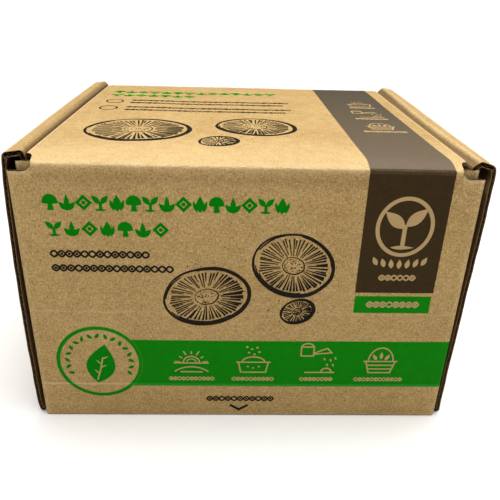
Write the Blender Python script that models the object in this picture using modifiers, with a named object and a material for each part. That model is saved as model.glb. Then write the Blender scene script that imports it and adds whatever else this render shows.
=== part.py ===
"""Mushroom grow kit in its closed corrugated carton.

One die-cut sheet of 2.5 mm single-wall board is folded into a tray with rolled
double side walls. The lid turns on the crease along the top of the back wall,
and a full-height front flap turns on the crease along the front of the lid. The
flap's two ears slide into the pockets inside the side walls. In the tray lie a
block of spawned compost in a film liner and a sealed bag of casing soil.

Metres, +Z up. The front flap faces -Y. The origin is the middle of the
underside of the closed carton.
"""

from math import cos, pi, radians, sin, sqrt

import bmesh
import bpy
from mathutils import Matrix, Vector

# ---------------------------------------------------------------- dimensions
BOARD = 0.0025            # board thickness
GAP = 0.0003              # clearance between faces that touch

DEPTH = 0.2510            # outer face of the flap to outer face of the back wall
CREASE_Z = 0.1850         # height of the lid's upper face and of both hinge creases
LID_HALF = 0.1300         # half width of the lid
CREASE_HALF = 0.1257      # half length of its front crease, between the corner cuts
CUT_START = 0.0062        # the cuts in its front corners lie between these two distances
CUT_BACK = 0.0090         # behind the flap's face
FLAP_HALF = 0.1400        # half width of the front flap, to its side folds
FLAP_FOOT = 0.0004        # the flap ends just above the surface
NOTCH_DROP = 0.0052       # step in the flap's upper edge beside the lid
NOTCH_R = 0.0052          # fillet in that step

SIDE_OUT = 0.1445         # outer face of the side walls
SIDE_IN = 0.1304          # inner face of the rolled side walls
ROLL_TOP = 0.1900         # upper face of the roll-over strips
SIDE_FRONT = 0.0030       # outer side walls stand this far behind the flap's face
STRIP_FRONT = 0.0045      # roll-over strips start this far behind it
SIDE_BACK = 0.2505

FRONT_WALL_Y = 0.0035     # outer face of the tray's front wall
FRONT_WALL_HALF = 0.1370  # half width, to the folds of its dust flaps
BACK_WALL_HALF = 0.1397
SHOULDER_X = 0.1265       # beyond this the front wall rises beside the lid

FRONT_DUST_REACH = 0.0720  # how far back the front dust flaps reach
BACK_DUST_REACH = 0.1780   # how far forward the back dust flaps reach
DUST_TAPER = 0.006
DUST_TOP = 0.1815

EAR_REACH = 0.0600        # how far back the flap's ears reach
EAR_SWING_R = 0.1810      # lower edge of the ears, an arc about the flap's crease
EAR_CLEAR = 0.0004        # play between the ears and the end of the roll-over strips

TAB_LENGTH = 0.0500       # lock tabs under the inner side walls
TAB_MIDDLES = (0.0760, 0.1750)
TAB_FOOT = 0.0004

LINER = 0.0005            # film liner
LINER_TOP = 0.1480
COMPOST_TOP = 0.1120
COMPOST_EDGE = 0.0060
BAG_HALF_X = 0.1000       # casing bag
BAG_FRONT_Y = 0.0395
BAG_BACK_Y = 0.2115
BAG_HEIGHT = 0.0400
BAG_SINK = 0.0007         # the subdivided form draws in from its cage by this much

MID_Y = DEPTH / 2         # outlines below count y from the flap's outer face

# ------------------------------------------------------------------ materials
KRAFT = (0.60, 0.42, 0.22)
KRAFT_INSIDE = (0.55, 0.39, 0.21)
COMPOST = (0.16, 0.10, 0.06)
FILM = (0.80, 0.82, 0.82)
CASING = (0.07, 0.05, 0.035)


def make_material(name, colour, roughness, metallic=0.0, alpha=1.0):
    mat = bpy.data.materials.new(name)
    mat.use_nodes = True
    shader = mat.node_tree.nodes["Principled BSDF"]
    shader.inputs["Base Color"].default_value = (*colour, 1.0)
    shader.inputs["Roughness"].default_value = roughness
    shader.inputs["Metallic"].default_value = metallic
    shader.inputs["Alpha"].default_value = alpha
    return mat


# -------------------------------------------------------------------- helpers
for old in list(bpy.data.objects):
    bpy.data.objects.remove(old, do_unlink=True)

kit = bpy.data.collections.new("mushroom_grow_kit")
bpy.context.scene.collection.children.link(kit)


def add_empty(name, location, parent=None):
    empty = bpy.data.objects.new(name, None)
    empty.empty_display_size = 0.02
    kit.objects.link(empty)
    if parent is not None:
        empty.parent = parent
        empty.location = Vector(location) - parent_place(parent)
    else:
        empty.location = location
    return empty


def parent_place(ob):
    place = Vector(ob.location)
    while ob.parent is not None:
        ob = ob.parent
        place += Vector(ob.location)
    return place


def add_mesh(name, mesh, location, parent, material):
    """A mesh object whose origin is at location, under parent."""
    ob = bpy.data.objects.new(name, mesh)
    kit.objects.link(ob)
    ob.parent = parent
    ob.location = Vector(location) - parent_place(parent)
    ob.data.materials.clear()
    ob.data.materials.append(material)
    return ob


def box(name, low, high, parent, colour=KRAFT, roughness=0.9, rounding=0.0):
    """A box from corner to corner, y counted from the flap's outer face."""
    low = Vector(low) - Vector((0, MID_Y, 0))
    high = Vector(high) - Vector((0, MID_Y, 0))
    size = high - low
    bm = bmesh.new()
    bmesh.ops.create_cube(bm, size=1.0)
    bmesh.ops.scale(bm, vec=size, verts=bm.verts)
    mesh = bpy.data.meshes.new(name)
    bm.to_mesh(mesh)
    bm.free()
    ob = add_mesh(name, mesh, (low + high) / 2, parent,
                  make_material(name, colour, roughness))
    if rounding:
        bevel = ob.modifiers.new("rounded edges", "BEVEL")
        bevel.width = rounding
        bevel.segments = 3
        bevel.limit_method = "ANGLE"
        ob.data.shade_smooth()
        ob.data.set_sharp_from_angle(angle=radians(40))
    return ob


def flat_outline(loops, thickness):
    """A mesh plate in the XY plane, centred on it, from closed outlines."""
    curve = bpy.data.curves.new("outline", "CURVE")
    curve.dimensions = "2D"
    curve.fill_mode = "BOTH"
    curve.extrude = thickness / 2
    for loop in loops:
        spline = curve.splines.new("POLY")
        spline.points.add(len(loop) - 1)
        for point, (u, v) in zip(spline.points, loop):
            point.co = (u, v, 0, 1)
        spline.use_cyclic_u = True
    holder = bpy.data.objects.new("outline", curve)
    kit.objects.link(holder)
    bpy.context.view_layer.update()
    graph = bpy.context.evaluated_depsgraph_get()
    mesh = bpy.data.meshes.new_from_object(holder.evaluated_get(graph))
    bpy.data.objects.remove(holder, do_unlink=True)
    bpy.data.curves.remove(curve)
    bm = bmesh.new()
    bm.from_mesh(mesh)
    bmesh.ops.remove_doubles(bm, verts=bm.verts, dist=0.00001)
    bmesh.ops.recalc_face_normals(bm, faces=bm.faces)
    bm.to_mesh(mesh)
    bm.free()
    return mesh


# Axes of a plate: first outline axis, second outline axis, thickness.
FACING = {
    "x": Matrix(((0, 0, 1), (1, 0, 0), (0, 1, 0))).to_4x4(),    # outline in (y, z)
    "y": Matrix(((1, 0, 0), (0, 0, -1), (0, 1, 0))).to_4x4(),   # outline in (x, z)
    "z": Matrix.Identity(4),                                    # outline in (x, y)
}


def plate(name, facing, loops, near, far, parent, colour=KRAFT, roughness=0.9,
          origin=(0.0, 0.0, 0.0)):
    """A flat plate with its outlines in the plane across 'facing', which it
    fills from near to far along that axis. Outlines and origin count y from the
    flap's outer face."""
    mesh = flat_outline(loops, far - near)
    mesh.name = name
    middle = (near + far) / 2
    shift = {"x": (middle, -MID_Y, 0), "y": (0, middle - MID_Y, 0),
             "z": (0, -MID_Y, middle)}[facing]
    place = Vector(origin) - Vector((0, MID_Y, 0))
    mesh.transform(Matrix.Translation(Vector(shift) - place) @ FACING[facing])
    return add_mesh(name, mesh, place, parent,
                    make_material(name, colour, roughness))


def rectangle(u0, v0, u1, v1):
    return [(u0, v0), (u1, v0), (u1, v1), (u0, v1)]


def mitre(ob, point, normal):
    """Cuts off what lies on the side of the plane that normal points to."""
    place = parent_place(ob)
    bm = bmesh.new()
    bm.from_mesh(ob.data)
    at = Vector(point) - Vector((0, MID_Y, 0)) - place
    cut = bmesh.ops.bisect_plane(
        bm, geom=bm.verts[:] + bm.edges[:] + bm.faces[:], dist=1e-7,
        plane_co=at, plane_no=Vector(normal), clear_outer=True)
    edges = [e for e in cut["geom_cut"] if isinstance(e, bmesh.types.BMEdge)]
    bmesh.ops.edgenet_fill(bm, edges=edges)
    bmesh.ops.remove_doubles(bm, verts=bm.verts, dist=1e-6)
    bmesh.ops.recalc_face_normals(bm, faces=bm.faces)
    bm.to_mesh(ob.data)
    bm.free()


# ------------------------------------------------------------- hinge positions
root = add_empty("carton", (0, 0, 0))
tray = add_empty("tray", (0, 0, 0), root)
lid_axis = add_empty("lid_hinge_axis", (0, DEPTH - MID_Y, CREASE_Z), root)
flap_axis = add_empty("flap_hinge_axis", (0, -MID_Y, CREASE_Z), lid_axis)

WALL_TOP = ROLL_TOP - BOARD - GAP       # outer and inner side walls end here
INNER_OUT = SIDE_IN + BOARD             # outer face of the rolled-in wall
OUTER_IN = SIDE_OUT - BOARD             # inner face of the outer side wall
BACK_WALL_Y = DEPTH - BOARD             # inner face of the back wall
ROOM_FRONT = FRONT_WALL_Y + BOARD       # inner face of the tray's front wall

# ------------------------------------------------------------------- base panel
slots = []
for side in (-1, 1):
    for middle in TAB_MIDDLES:
        a, b = sorted((side * (SIDE_IN - GAP), side * (INNER_OUT + GAP)))
        slots.append(rectangle(a, middle - TAB_LENGTH / 2 - 0.0005,
                               b, middle + TAB_LENGTH / 2 + 0.0005))
plate("base_panel", "z",
      [rectangle(-OUTER_IN + GAP, ROOM_FRONT + GAP, OUTER_IN - GAP,
                 BACK_WALL_Y - GAP)] + slots,
      0.0, BOARD, tray)

# ------------------------------------------------------- front and back walls
under_lid = CREASE_Z - BOARD - GAP
shoulder = CREASE_Z - 0.0003
plate("front_wall", "y",
      [[(-FRONT_WALL_HALF, 0), (FRONT_WALL_HALF, 0), (FRONT_WALL_HALF, shoulder),
        (SHOULDER_X, shoulder), (SHOULDER_X, under_lid), (-SHOULDER_X, under_lid),
        (-SHOULDER_X, shoulder), (-FRONT_WALL_HALF, shoulder)]],
      FRONT_WALL_Y, ROOM_FRONT, tray)

# The back wall carries the lid's crease, so its upper edge is cut at 45 degrees.
back_wall = plate("back_wall", "y",
                  [rectangle(-BACK_WALL_HALF, 0, BACK_WALL_HALF, CREASE_Z)],
                  BACK_WALL_Y, DEPTH, tray)
mitre(back_wall, (0, DEPTH, CREASE_Z - GAP), (0, -1, 1))

# ------------------------------------------------------------------- side walls
for side, word in ((-1, "left"), (1, "right")):
    near, far = sorted((side * OUTER_IN, side * SIDE_OUT))
    box("outer_side_wall_" + word, (near, SIDE_FRONT, 0.0),
        (far, SIDE_BACK, WALL_TOP), tray)

    near, far = sorted((side * SIDE_IN, side * SIDE_OUT))
    box("roll_over_strip_" + word, (near, STRIP_FRONT, ROLL_TOP - BOARD),
        (far, SIDE_BACK, ROLL_TOP), tray)

    # The rolled-in wall has two tabs that lock into slots in the base.
    near, far = sorted((side * SIDE_IN, side * INNER_OUT))
    foot = BOARD + GAP
    start, end = ROOM_FRONT + 2 * GAP, BACK_WALL_Y - GAP
    outline = [(start, WALL_TOP), (start, foot)]
    for middle in TAB_MIDDLES:
        a, b = middle - TAB_LENGTH / 2, middle + TAB_LENGTH / 2
        outline += [(a, foot), (a + 0.002, TAB_FOOT), (b - 0.002, TAB_FOOT),
                    (b, foot)]
    outline += [(end, foot), (end, WALL_TOP)]
    plate("inner_side_wall_" + word, "x", [outline], near, far, tray)

    # Dust flaps folded back from the front wall and forward from the back wall.
    near, far = sorted((side * (FRONT_WALL_HALF - BOARD), side * FRONT_WALL_HALF))
    low, high = BOARD + 2 * GAP, DUST_TOP
    plate("front_dust_flap_" + word, "x",
          [[(ROOM_FRONT + GAP, low), (FRONT_DUST_REACH, low + DUST_TAPER),
            (FRONT_DUST_REACH, high - DUST_TAPER), (ROOM_FRONT + GAP, high)]],
          near, far, tray, KRAFT_INSIDE)
    near, far = sorted((side * (BACK_WALL_HALF - BOARD), side * BACK_WALL_HALF))
    plate("back_dust_flap_" + word, "x",
          [[(BACK_DUST_REACH, low + DUST_TAPER), (BACK_WALL_Y - GAP, low),
            (BACK_WALL_Y - GAP, high), (BACK_DUST_REACH, high - DUST_TAPER)]],
          near, far, tray, KRAFT_INSIDE)

# -------------------------------------------------------------------------- lid
hinge_back = (0, DEPTH, CREASE_Z)
# Its front corners are cut back in a curve, to clear the front wall's shoulders
# and the ends of the roll-over strips. Both creased edges are cut at 45 degrees.
cut = []
for step in range(9):
    angle = step / 8 * pi / 2
    cut.append((LID_HALF - (LID_HALF - CREASE_HALF) * cos(angle),
                CUT_START + (CUT_BACK - CUT_START) * sin(angle)))
right = [(CREASE_HALF, 0.0)] + cut + [(LID_HALF, DEPTH)]
left = [(-x, y) for x, y in right[::-1]]
lid = plate("lid_panel", "z", [right + left], CREASE_Z - BOARD, CREASE_Z, lid_axis,
            origin=hinge_back)
mitre(lid, (0, GAP, CREASE_Z), (0, -1, -1))
mitre(lid, (0, DEPTH - GAP, CREASE_Z), (0, 1, -1))

# ------------------------------------------------------------------ front flap
# Beside the lid the upper edge drops through a fillet to a lower shoulder.
notch = []
centre_x, centre_z = CREASE_HALF + NOTCH_R, CREASE_Z
for step in range(9):
    angle = pi + step / 8 * pi / 2
    notch.append((centre_x + NOTCH_R * cos(angle), centre_z + NOTCH_R * sin(angle)))
right = ([(FLAP_HALF, CREASE_Z - NOTCH_DROP)] + notch[::-1])
left = [(-x, z) for x, z in right[::-1]]
hinge_front = (0, 0, CREASE_Z)
flap = plate("front_flap", "y",
             [[(-FLAP_HALF, FLAP_FOOT), (FLAP_HALF, FLAP_FOOT)] + right + left],
             0.0, BOARD, flap_axis, origin=hinge_front)
mitre(flap, (0, 0, CREASE_Z - GAP), (0, 1, 1))

# ------------------------------------------------------------------- flap ears
# Upper edge: outside the circle that the roll-over strips' front ends lie on as
# seen from the back crease, so that the lid can be lifted with the flap on it.
# Lower edge: inside the circle about the front crease that clears the base.
strip_end = sqrt((DEPTH - STRIP_FRONT) ** 2 + (ROLL_TOP - CREASE_Z) ** 2) + EAR_CLEAR


def upper_edge(a):
    return sqrt(max(0.0, strip_end ** 2 - (DEPTH - a) ** 2))


def lower_edge(a):
    return sqrt(EAR_SWING_R ** 2 - a ** 2)


ear_start = BOARD + GAP
steps = 16
reach = [ear_start + (EAR_REACH - ear_start) * (i / steps) ** 1.8
         for i in range(steps + 1)]
top = [(a, CREASE_Z - max(upper_edge(a), NOTCH_DROP)) for a in reach]
bottom = [(a, CREASE_Z - lower_edge(a)) for a in reach[::2]]
for side, word in ((-1, "left"), (1, "right")):
    near, far = sorted((side * (FLAP_HALF - BOARD), side * FLAP_HALF))
    plate("flap_ear_" + word, "x", [top[::-1] + bottom], near, far, flap_axis,
          KRAFT_INSIDE, origin=hinge_front)

# -------------------------------------------------------------------- contents
# Film liner: an open-topped bag against the carton's inner faces.
liner_low = Vector((-SIDE_IN + 0.0004 + LINER, ROOM_FRONT + 0.0004 + LINER,
                    BOARD + 0.0004 + LINER))
liner_high = Vector((SIDE_IN - 0.0004 - LINER, BACK_WALL_Y - 0.0004 - LINER,
                     LINER_TOP))
bm = bmesh.new()
bmesh.ops.create_cube(bm, size=1.0)
bmesh.ops.scale(bm, vec=liner_high - liner_low, verts=bm.verts)
lid_faces = [f for f in bm.faces if f.normal.z > 0.9]
bmesh.ops.delete(bm, geom=lid_faces, context="FACES_ONLY")
liner_mesh = bpy.data.meshes.new("film_liner")
bm.to_mesh(liner_mesh)
bm.free()
liner = add_mesh("film_liner", liner_mesh,
                 (liner_low + liner_high) / 2 - Vector((0, MID_Y, 0)), tray,
                 make_material("film_liner", FILM, 0.3, alpha=0.5))
skin = liner.modifiers.new("film", "SOLIDIFY")
skin.thickness = LINER
skin.offset = 1.0
skin.use_even_offset = True

# Spawned compost, pressed to the shape of the liner.
box("compost_block",
    liner_low + Vector((GAP, GAP, GAP)),
    (liner_high.x - GAP, liner_high.y - GAP, COMPOST_TOP),
    tray, COMPOST, 0.95, rounding=COMPOST_EDGE)

# Sealed bag of casing soil lying on the compost: a coarse cage, subdivided.
bag_foot = COMPOST_TOP + GAP - BAG_SINK
bag_low = Vector((-BAG_HALF_X, BAG_FRONT_Y - MID_Y, bag_foot))
bag_high = Vector((BAG_HALF_X, BAG_BACK_Y - MID_Y, bag_foot + BAG_HEIGHT))
bag_mid = (bag_low + bag_high) / 2
half = (bag_high - bag_low) / 2
bm = bmesh.new()
bmesh.ops.create_cube(bm, size=2.0)
bmesh.ops.subdivide_edges(bm, edges=bm.edges, cuts=2, use_grid_fill=True)
for v in bm.verts:
    rim = max(abs(v.co.x), abs(v.co.y))
    v.co.z *= 1.0 if rim < 0.9 else 0.55
    v.co = Vector((v.co.x * half.x, v.co.y * half.y, v.co.z * half.z))
bag_mesh = bpy.data.meshes.new("casing_bag")
bm.to_mesh(bag_mesh)
bm.free()
bag = add_mesh("casing_bag", bag_mesh, bag_mid, tray,
               make_material("casing_bag", CASING, 0.5))
soft = bag.modifiers.new("soft form", "SUBSURF")
soft.levels = 2
soft.render_levels = 2
bag.data.shade_smooth()
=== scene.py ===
import math

import bmesh
import bpy
import numpy as np
from mathutils import Matrix, Vector


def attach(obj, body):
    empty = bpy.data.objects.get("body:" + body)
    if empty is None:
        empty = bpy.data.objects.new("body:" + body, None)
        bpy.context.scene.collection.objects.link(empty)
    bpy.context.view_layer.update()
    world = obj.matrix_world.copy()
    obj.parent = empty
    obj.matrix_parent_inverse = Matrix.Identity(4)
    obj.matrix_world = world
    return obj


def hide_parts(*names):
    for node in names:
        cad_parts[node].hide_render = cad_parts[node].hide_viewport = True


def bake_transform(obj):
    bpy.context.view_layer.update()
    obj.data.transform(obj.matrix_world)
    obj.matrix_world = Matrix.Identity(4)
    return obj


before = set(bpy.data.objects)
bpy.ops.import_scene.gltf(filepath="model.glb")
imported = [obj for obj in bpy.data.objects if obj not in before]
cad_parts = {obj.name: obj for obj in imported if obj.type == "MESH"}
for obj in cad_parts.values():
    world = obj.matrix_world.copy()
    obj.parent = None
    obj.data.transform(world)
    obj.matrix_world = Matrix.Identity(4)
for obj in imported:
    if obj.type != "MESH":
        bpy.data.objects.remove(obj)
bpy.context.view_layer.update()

# Every length below is in millimetres, measured from the middle of the front flap's face at the floor:
# x to the right, y into the box, z up. row() turns it into the shared frame, which is in metres.
FACE_Y = -125.5


def row(p):
    p = np.asarray(p, float).copy()
    p[..., 1] += FACE_Y
    return p / 1000.0


# ---------------------------------------------------------------- camera
FOCAL = 553.5435
cam_data = bpy.data.cameras.new("view")
cam_data.sensor_fit = "HORIZONTAL"
cam_data.sensor_width = 36.0
cam_data.lens = FOCAL / 500.0 * 36.0
cam_data.clip_start, cam_data.clip_end = 0.01, 50.0
camera = bpy.data.objects.new("view", cam_data)
bpy.context.scene.collection.objects.link(camera)
pitch, yaw, roll = 0.4489, -0.0421, 0.0330
ahead = Vector((-math.sin(yaw) * math.cos(pitch), math.cos(yaw) * math.cos(pitch), -math.sin(pitch)))
right = Vector((math.cos(yaw), math.sin(yaw), 0.0))
up = right.cross(ahead)
right2 = math.cos(roll) * right + math.sin(roll) * up
up2 = -math.sin(roll) * right + math.cos(roll) * up
m = Matrix.Identity(4)
for i in range(3):
    m[i][0], m[i][1], m[i][2] = right2[i], up2[i], -ahead[i]
place = row((-11.536, -307.970, 280.511))
m[0][3], m[1][3], m[2][3] = place
camera.matrix_world = m
bpy.context.scene.camera = camera


# ---------------------------------------------------------------- noise with a fixed seed
def _hash(i, j, k, seed):
    n = (i.astype(np.int64) * 374761393 + j.astype(np.int64) * 668265263 + k.astype(np.int64) * 1442695041 + seed * 97471127) & 0xFFFFFFFF
    n = ((n ^ (n >> 13)) * 1274126177) & 0xFFFFFFFF
    n = ((n ^ (n >> 16)) * 2246822519) & 0xFFFFFFFF
    return ((n ^ (n >> 15)) & 0xFFFF) / 65535.0


def noise(x, y=0.0, z=0.0, seed=1):
    """Smooth value noise from -1 to 1, one cell a unit."""
    x, y, z = np.broadcast_arrays(np.asarray(x, float), np.asarray(y, float), np.asarray(z, float))
    i, j, k = np.floor(x), np.floor(y), np.floor(z)
    u, v, w = x - i, y - j, z - k
    u, v, w = (t * t * (3 - 2 * t) for t in (u, v, w))
    out = 0.0
    for a in (0, 1):
        for b in (0, 1):
            for c in (0, 1):
                wt = (u if a else 1 - u) * (v if b else 1 - v) * (w if c else 1 - w)
                out = out + wt * _hash(i + a, j + b, k + c, seed)
    return out * 2 - 1


def step(x, a, b):
    t = np.clip((np.asarray(x, float) - a) / (b - a), 0, 1)
    return t * t * (3 - 2 * t)


# ---------------------------------------------------------------- a mesh that collects its parts
class Buf:
    def __init__(self):
        self.p, self.uv, self.tone, self.faces, self.mats = [], [], [], [], []
        self.n = 0

    def add(self, p, uv, tone, faces, mats):
        base = self.n
        self.p.append(np.asarray(p, float).reshape(-1, 3))
        self.uv.append(np.asarray(uv, float).reshape(-1, 3))
        self.tone.append(np.broadcast_to(np.asarray(tone, float), (len(self.p[-1]),)).copy())
        self.n += len(self.p[-1])
        for f, mt in zip(faces, mats):
            f = np.asarray(f, np.int64)
            if len(f):
                self.faces.extend((f + base).tolist())
                self.mats.extend([mt] * len(f))

    def object(self, name, materials, smooth=35.0, fix=True):
        mesh = bpy.data.meshes.new(name)
        p = row(np.concatenate(self.p))
        mesh.from_pydata(p.tolist(), [], self.faces)
        for mt in materials:
            mesh.materials.append(mt)
        mesh.polygons.foreach_set("material_index", np.array(self.mats, np.int32))
        a = mesh.attributes.new("rest", "FLOAT_VECTOR", "POINT")
        a.data.foreach_set("vector", p.astype(np.float32).ravel())
        a = mesh.attributes.new("sheet", "FLOAT_VECTOR", "POINT")
        a.data.foreach_set("vector", (np.concatenate(self.uv) / 1000.0).astype(np.float32).ravel())
        a = mesh.attributes.new("tone", "FLOAT", "POINT")
        a.data.foreach_set("value", np.concatenate(self.tone).astype(np.float32))
        if fix:
            bm = bmesh.new()
            bm.from_mesh(mesh)
            bmesh.ops.recalc_face_normals(bm, faces=bm.faces)
            bm.to_mesh(mesh)
            bm.free()
        mesh.polygons.foreach_set("use_smooth", np.ones(len(mesh.polygons), bool))
        if smooth is not None:
            mesh.set_sharp_from_angle(angle=math.radians(smooth))
        mesh.update()
        o = bpy.data.objects.new(name, mesh)
        bpy.context.scene.collection.objects.link(o)
        return o


def grid_faces(ns, nv, base=0, flip=False):
    i, j = np.meshgrid(np.arange(ns - 1), np.arange(nv - 1), indexing="ij")
    a = base + i * nv + j
    q = np.stack([a, a + nv, a + nv + 1, a + 1], -1).reshape(-1, 4)
    return q[:, ::-1] if flip else q


def rim_faces(ns, nv, other):
    """The four rims that join a grid to its twin, whose numbers start at other."""
    out = []
    i = np.arange(ns - 1) * nv
    out.append(np.stack([i, i + nv, i + nv + other, i + other], -1))
    i = i + nv - 1
    out.append(np.stack([i + nv, i, i + other, i + nv + other], -1))
    j = np.arange(nv - 1)
    out.append(np.stack([j + 1, j, j + other, j + 1 + other], -1))
    j = j + (ns - 1) * nv
    out.append(np.stack([j, j + 1, j + 1 + other, j + other], -1))
    return np.concatenate(out)


# ---------------------------------------------------------------- paths of lines and arcs
class Path:
    """A line drawn by a turtle. The board's outside is on its right-hand side."""

    def __init__(self, a, b, heading):
        self.segs, self.length, self.at_end = [], 0.0, (a, b, math.radians(heading))
        self.bends = []

    def line(self, n):
        a, b, h = self.at_end
        self.segs.append(("L", self.length, n, a, b, h, 0.0))
        self.at_end = (a + n * math.cos(h), b + n * math.sin(h), h)
        self.length += n
        return self

    def arc(self, r, deg):
        a, b, h = self.at_end
        th = math.radians(deg)
        ca, cb = a - r * math.sin(h), b + r * math.cos(h)
        n = r * th
        self.segs.append(("A", self.length, n, ca, cb, h, r))
        self.bends.append((self.length, self.length + n))
        h2 = h + th
        self.at_end = (ca + r * math.sin(h2), cb - r * math.cos(h2), h2)
        self.length += n
        return self

    def at(self, s):
        s = np.asarray(s, float)
        a, b, h = np.zeros_like(s), np.zeros_like(s), np.zeros_like(s)
        last = len(self.segs) - 1
        for k, (kind, s0, n, ca, cb, h0, r) in enumerate(self.segs):
            on = np.ones_like(s, bool)
            if k > 0:
                on &= s >= s0
            if k < last:
                on &= s < s0 + n
            t = s - s0
            if kind == "L":
                a = np.where(on, ca + t * math.cos(h0), a)
                b = np.where(on, cb + t * math.sin(h0), b)
                h = np.where(on, h0, h)
            else:
                hh = h0 + t / r
                a = np.where(on, ca + r * np.sin(hh), a)
                b = np.where(on, cb - r * np.cos(hh), b)
                h = np.where(on, hh, h)
        return a, b, np.sin(h), -np.cos(h)


def samples(lo, hi, pitch, bends=(), fine=0.35, extra=()):
    n = max(2, int(round((hi - lo) / pitch)) + 1)
    out = list(np.linspace(lo, hi, n))
    for a, b in bends:
        if b > lo and a < hi:
            out += list(np.linspace(max(a, lo), min(b, hi), max(3, int((b - a) / fine) + 1)))
    out += [e for e in extra if lo < e < hi]
    out = np.array(sorted(out))
    keep = np.concatenate([[True], np.diff(out) > 0.08])
    keep[-1] = True
    if len(out) > 2 and out[-1] - out[-2] < 0.08:
        keep[-2] = False
    return out[keep]


# ---------------------------------------------------------------- corrugated board
HALF = 1.25  # half the board's thickness
LINER = 0.34
PITCH = 6.4
ROWS = np.array([0, 0.002, 0.006, 0.014, 0.03, 0.06, 0.1, 0.15, 0.2, 0.26, 0.32, 0.38, 0.44, 0.5, 0.56, 0.62, 0.68, 0.74, 0.8, 0.85, 0.9, 0.94, 0.97, 0.986, 0.994, 0.998, 1.0])


def layer(buf, S, F, lo, hi, M, wa, wb, mats, tone=None, jit=0.1, seed=3, back_off=0.0):
    """One closed sheet of paper: the grid S x F on its outer and inner faces, with rims between."""
    ns, nv = len(S), len(F)
    s = np.repeat(S[:, None], nv, 1)
    f = np.repeat(F[None, :], ns, 0)
    both, uvs, tones = [], [], []
    for w in (wa, wb):
        wv = w(s) if callable(w) else np.full_like(s, w)
        jl = jit * (0.6 * noise(s / 2.3, wv * 0.4, 0.5, seed) + 0.4 * noise(s / 0.9, wv, 3.5, seed + 5)) + back_off * (1 + 0.6 * noise(s / 1.7, 0, 7.5, seed))
        jh = jit * (0.6 * noise(s / 2.1, wv * 0.4, 9.5, seed + 1) + 0.4 * noise(s / 0.8, wv, 4.5, seed + 6)) - back_off * (1 + 0.6 * noise(s / 1.5, 0, 5.5, seed))
        a, b = lo(s, wv) + jl, hi(s, wv) + jh
        v = a + (b - a) * f
        both.append(M(s, v, wv))
        uvs.append(np.stack([s, v, wv], -1))
        tones.append(tone(s, v, wv) if tone else np.zeros_like(s))
    n = ns * nv
    buf.add(
        np.concatenate([both[0].reshape(-1, 3), both[1].reshape(-1, 3)]),
        np.concatenate([uvs[0].reshape(-1, 3), uvs[1].reshape(-1, 3)]),
        np.concatenate([tones[0].ravel(), tones[1].ravel()]),
        [grid_faces(ns, nv), grid_faces(ns, nv, n, True), rim_faces(ns, nv, n)],
        mats,
    )


def board(buf, smin, smax, lo, hi, M, bends=(), tone=None, phase=0.0, rows=ROWS, pitch_l=1.3, jit=0.09, seed=3, extra=(), mats=(0, 1, 2, 3), amp=1.0, inner=None, waves=10.0):
    """Outer liner, fluted medium and inner liner. mats: outside, inside, cut edge, medium."""
    S = samples(smin, smax, pitch_l, bends, 0.35, extra)
    out, ins, edge, med = mats
    layer(buf, S, rows, lo, hi, M, HALF, HALF - LINER, (out, edge, edge), tone, jit, seed)
    layer(buf, S, rows, lo, hi, inner or M, -HALF + LINER, -HALF, (edge, ins, edge), tone, jit, seed + 11)
    a = (HALF - LINER - 0.11) * amp
    Sm = samples(smin + 0.05, smax - 0.05, PITCH / waves, bends, 0.5)
    mid = np.concatenate([rows[rows < 0.012], [0.04, 0.5, 0.96], rows[rows > 0.988]])
    layer(
        buf, Sm, mid, lo, hi, M,
        lambda s: a * np.sin(2 * math.pi * (s / PITCH) + phase + 0.5 * noise(s / 19.0, 0, 0, seed)) + 0.10,
        lambda s: a * np.sin(2 * math.pi * (s / PITCH) + phase + 0.5 * noise(s / 19.0, 0, 0, seed)) - 0.10,
        (med, med, med), None, jit * 1.5, seed + 23, 0.22,
    )


# ---------------------------------------------------------------- shader arithmetic
class E:
    def __init__(self, g, s):
        self.g, self.s = g, s

    def __add__(self, o):
        return self.g.m("ADD", self, o)

    __radd__ = __add__

    def __sub__(self, o):
        return self.g.m("SUBTRACT", self, o)

    def __rsub__(self, o):
        return self.g.m("SUBTRACT", o, self)

    def __mul__(self, o):
        return self.g.m("MULTIPLY", self, o)

    __rmul__ = __mul__

    def __truediv__(self, o):
        return self.g.m("DIVIDE", self, o)

    def abs(self):
        return self.g.m("ABSOLUTE", self)

    def sin(self):
        return self.g.m("SINE", self)

    def clamp(self):
        return self.g.m("ADD", self, 0.0, clamp=True)

    def over(self, at, soft):
        """0 below at, 1 above it, with a soft edge that wide."""
        return ((self - at) * (1.0 / soft) + 0.5).clamp()

    def under(self, at, soft):
        return ((at - self) * (1.0 / soft) + 0.5).clamp()


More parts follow.
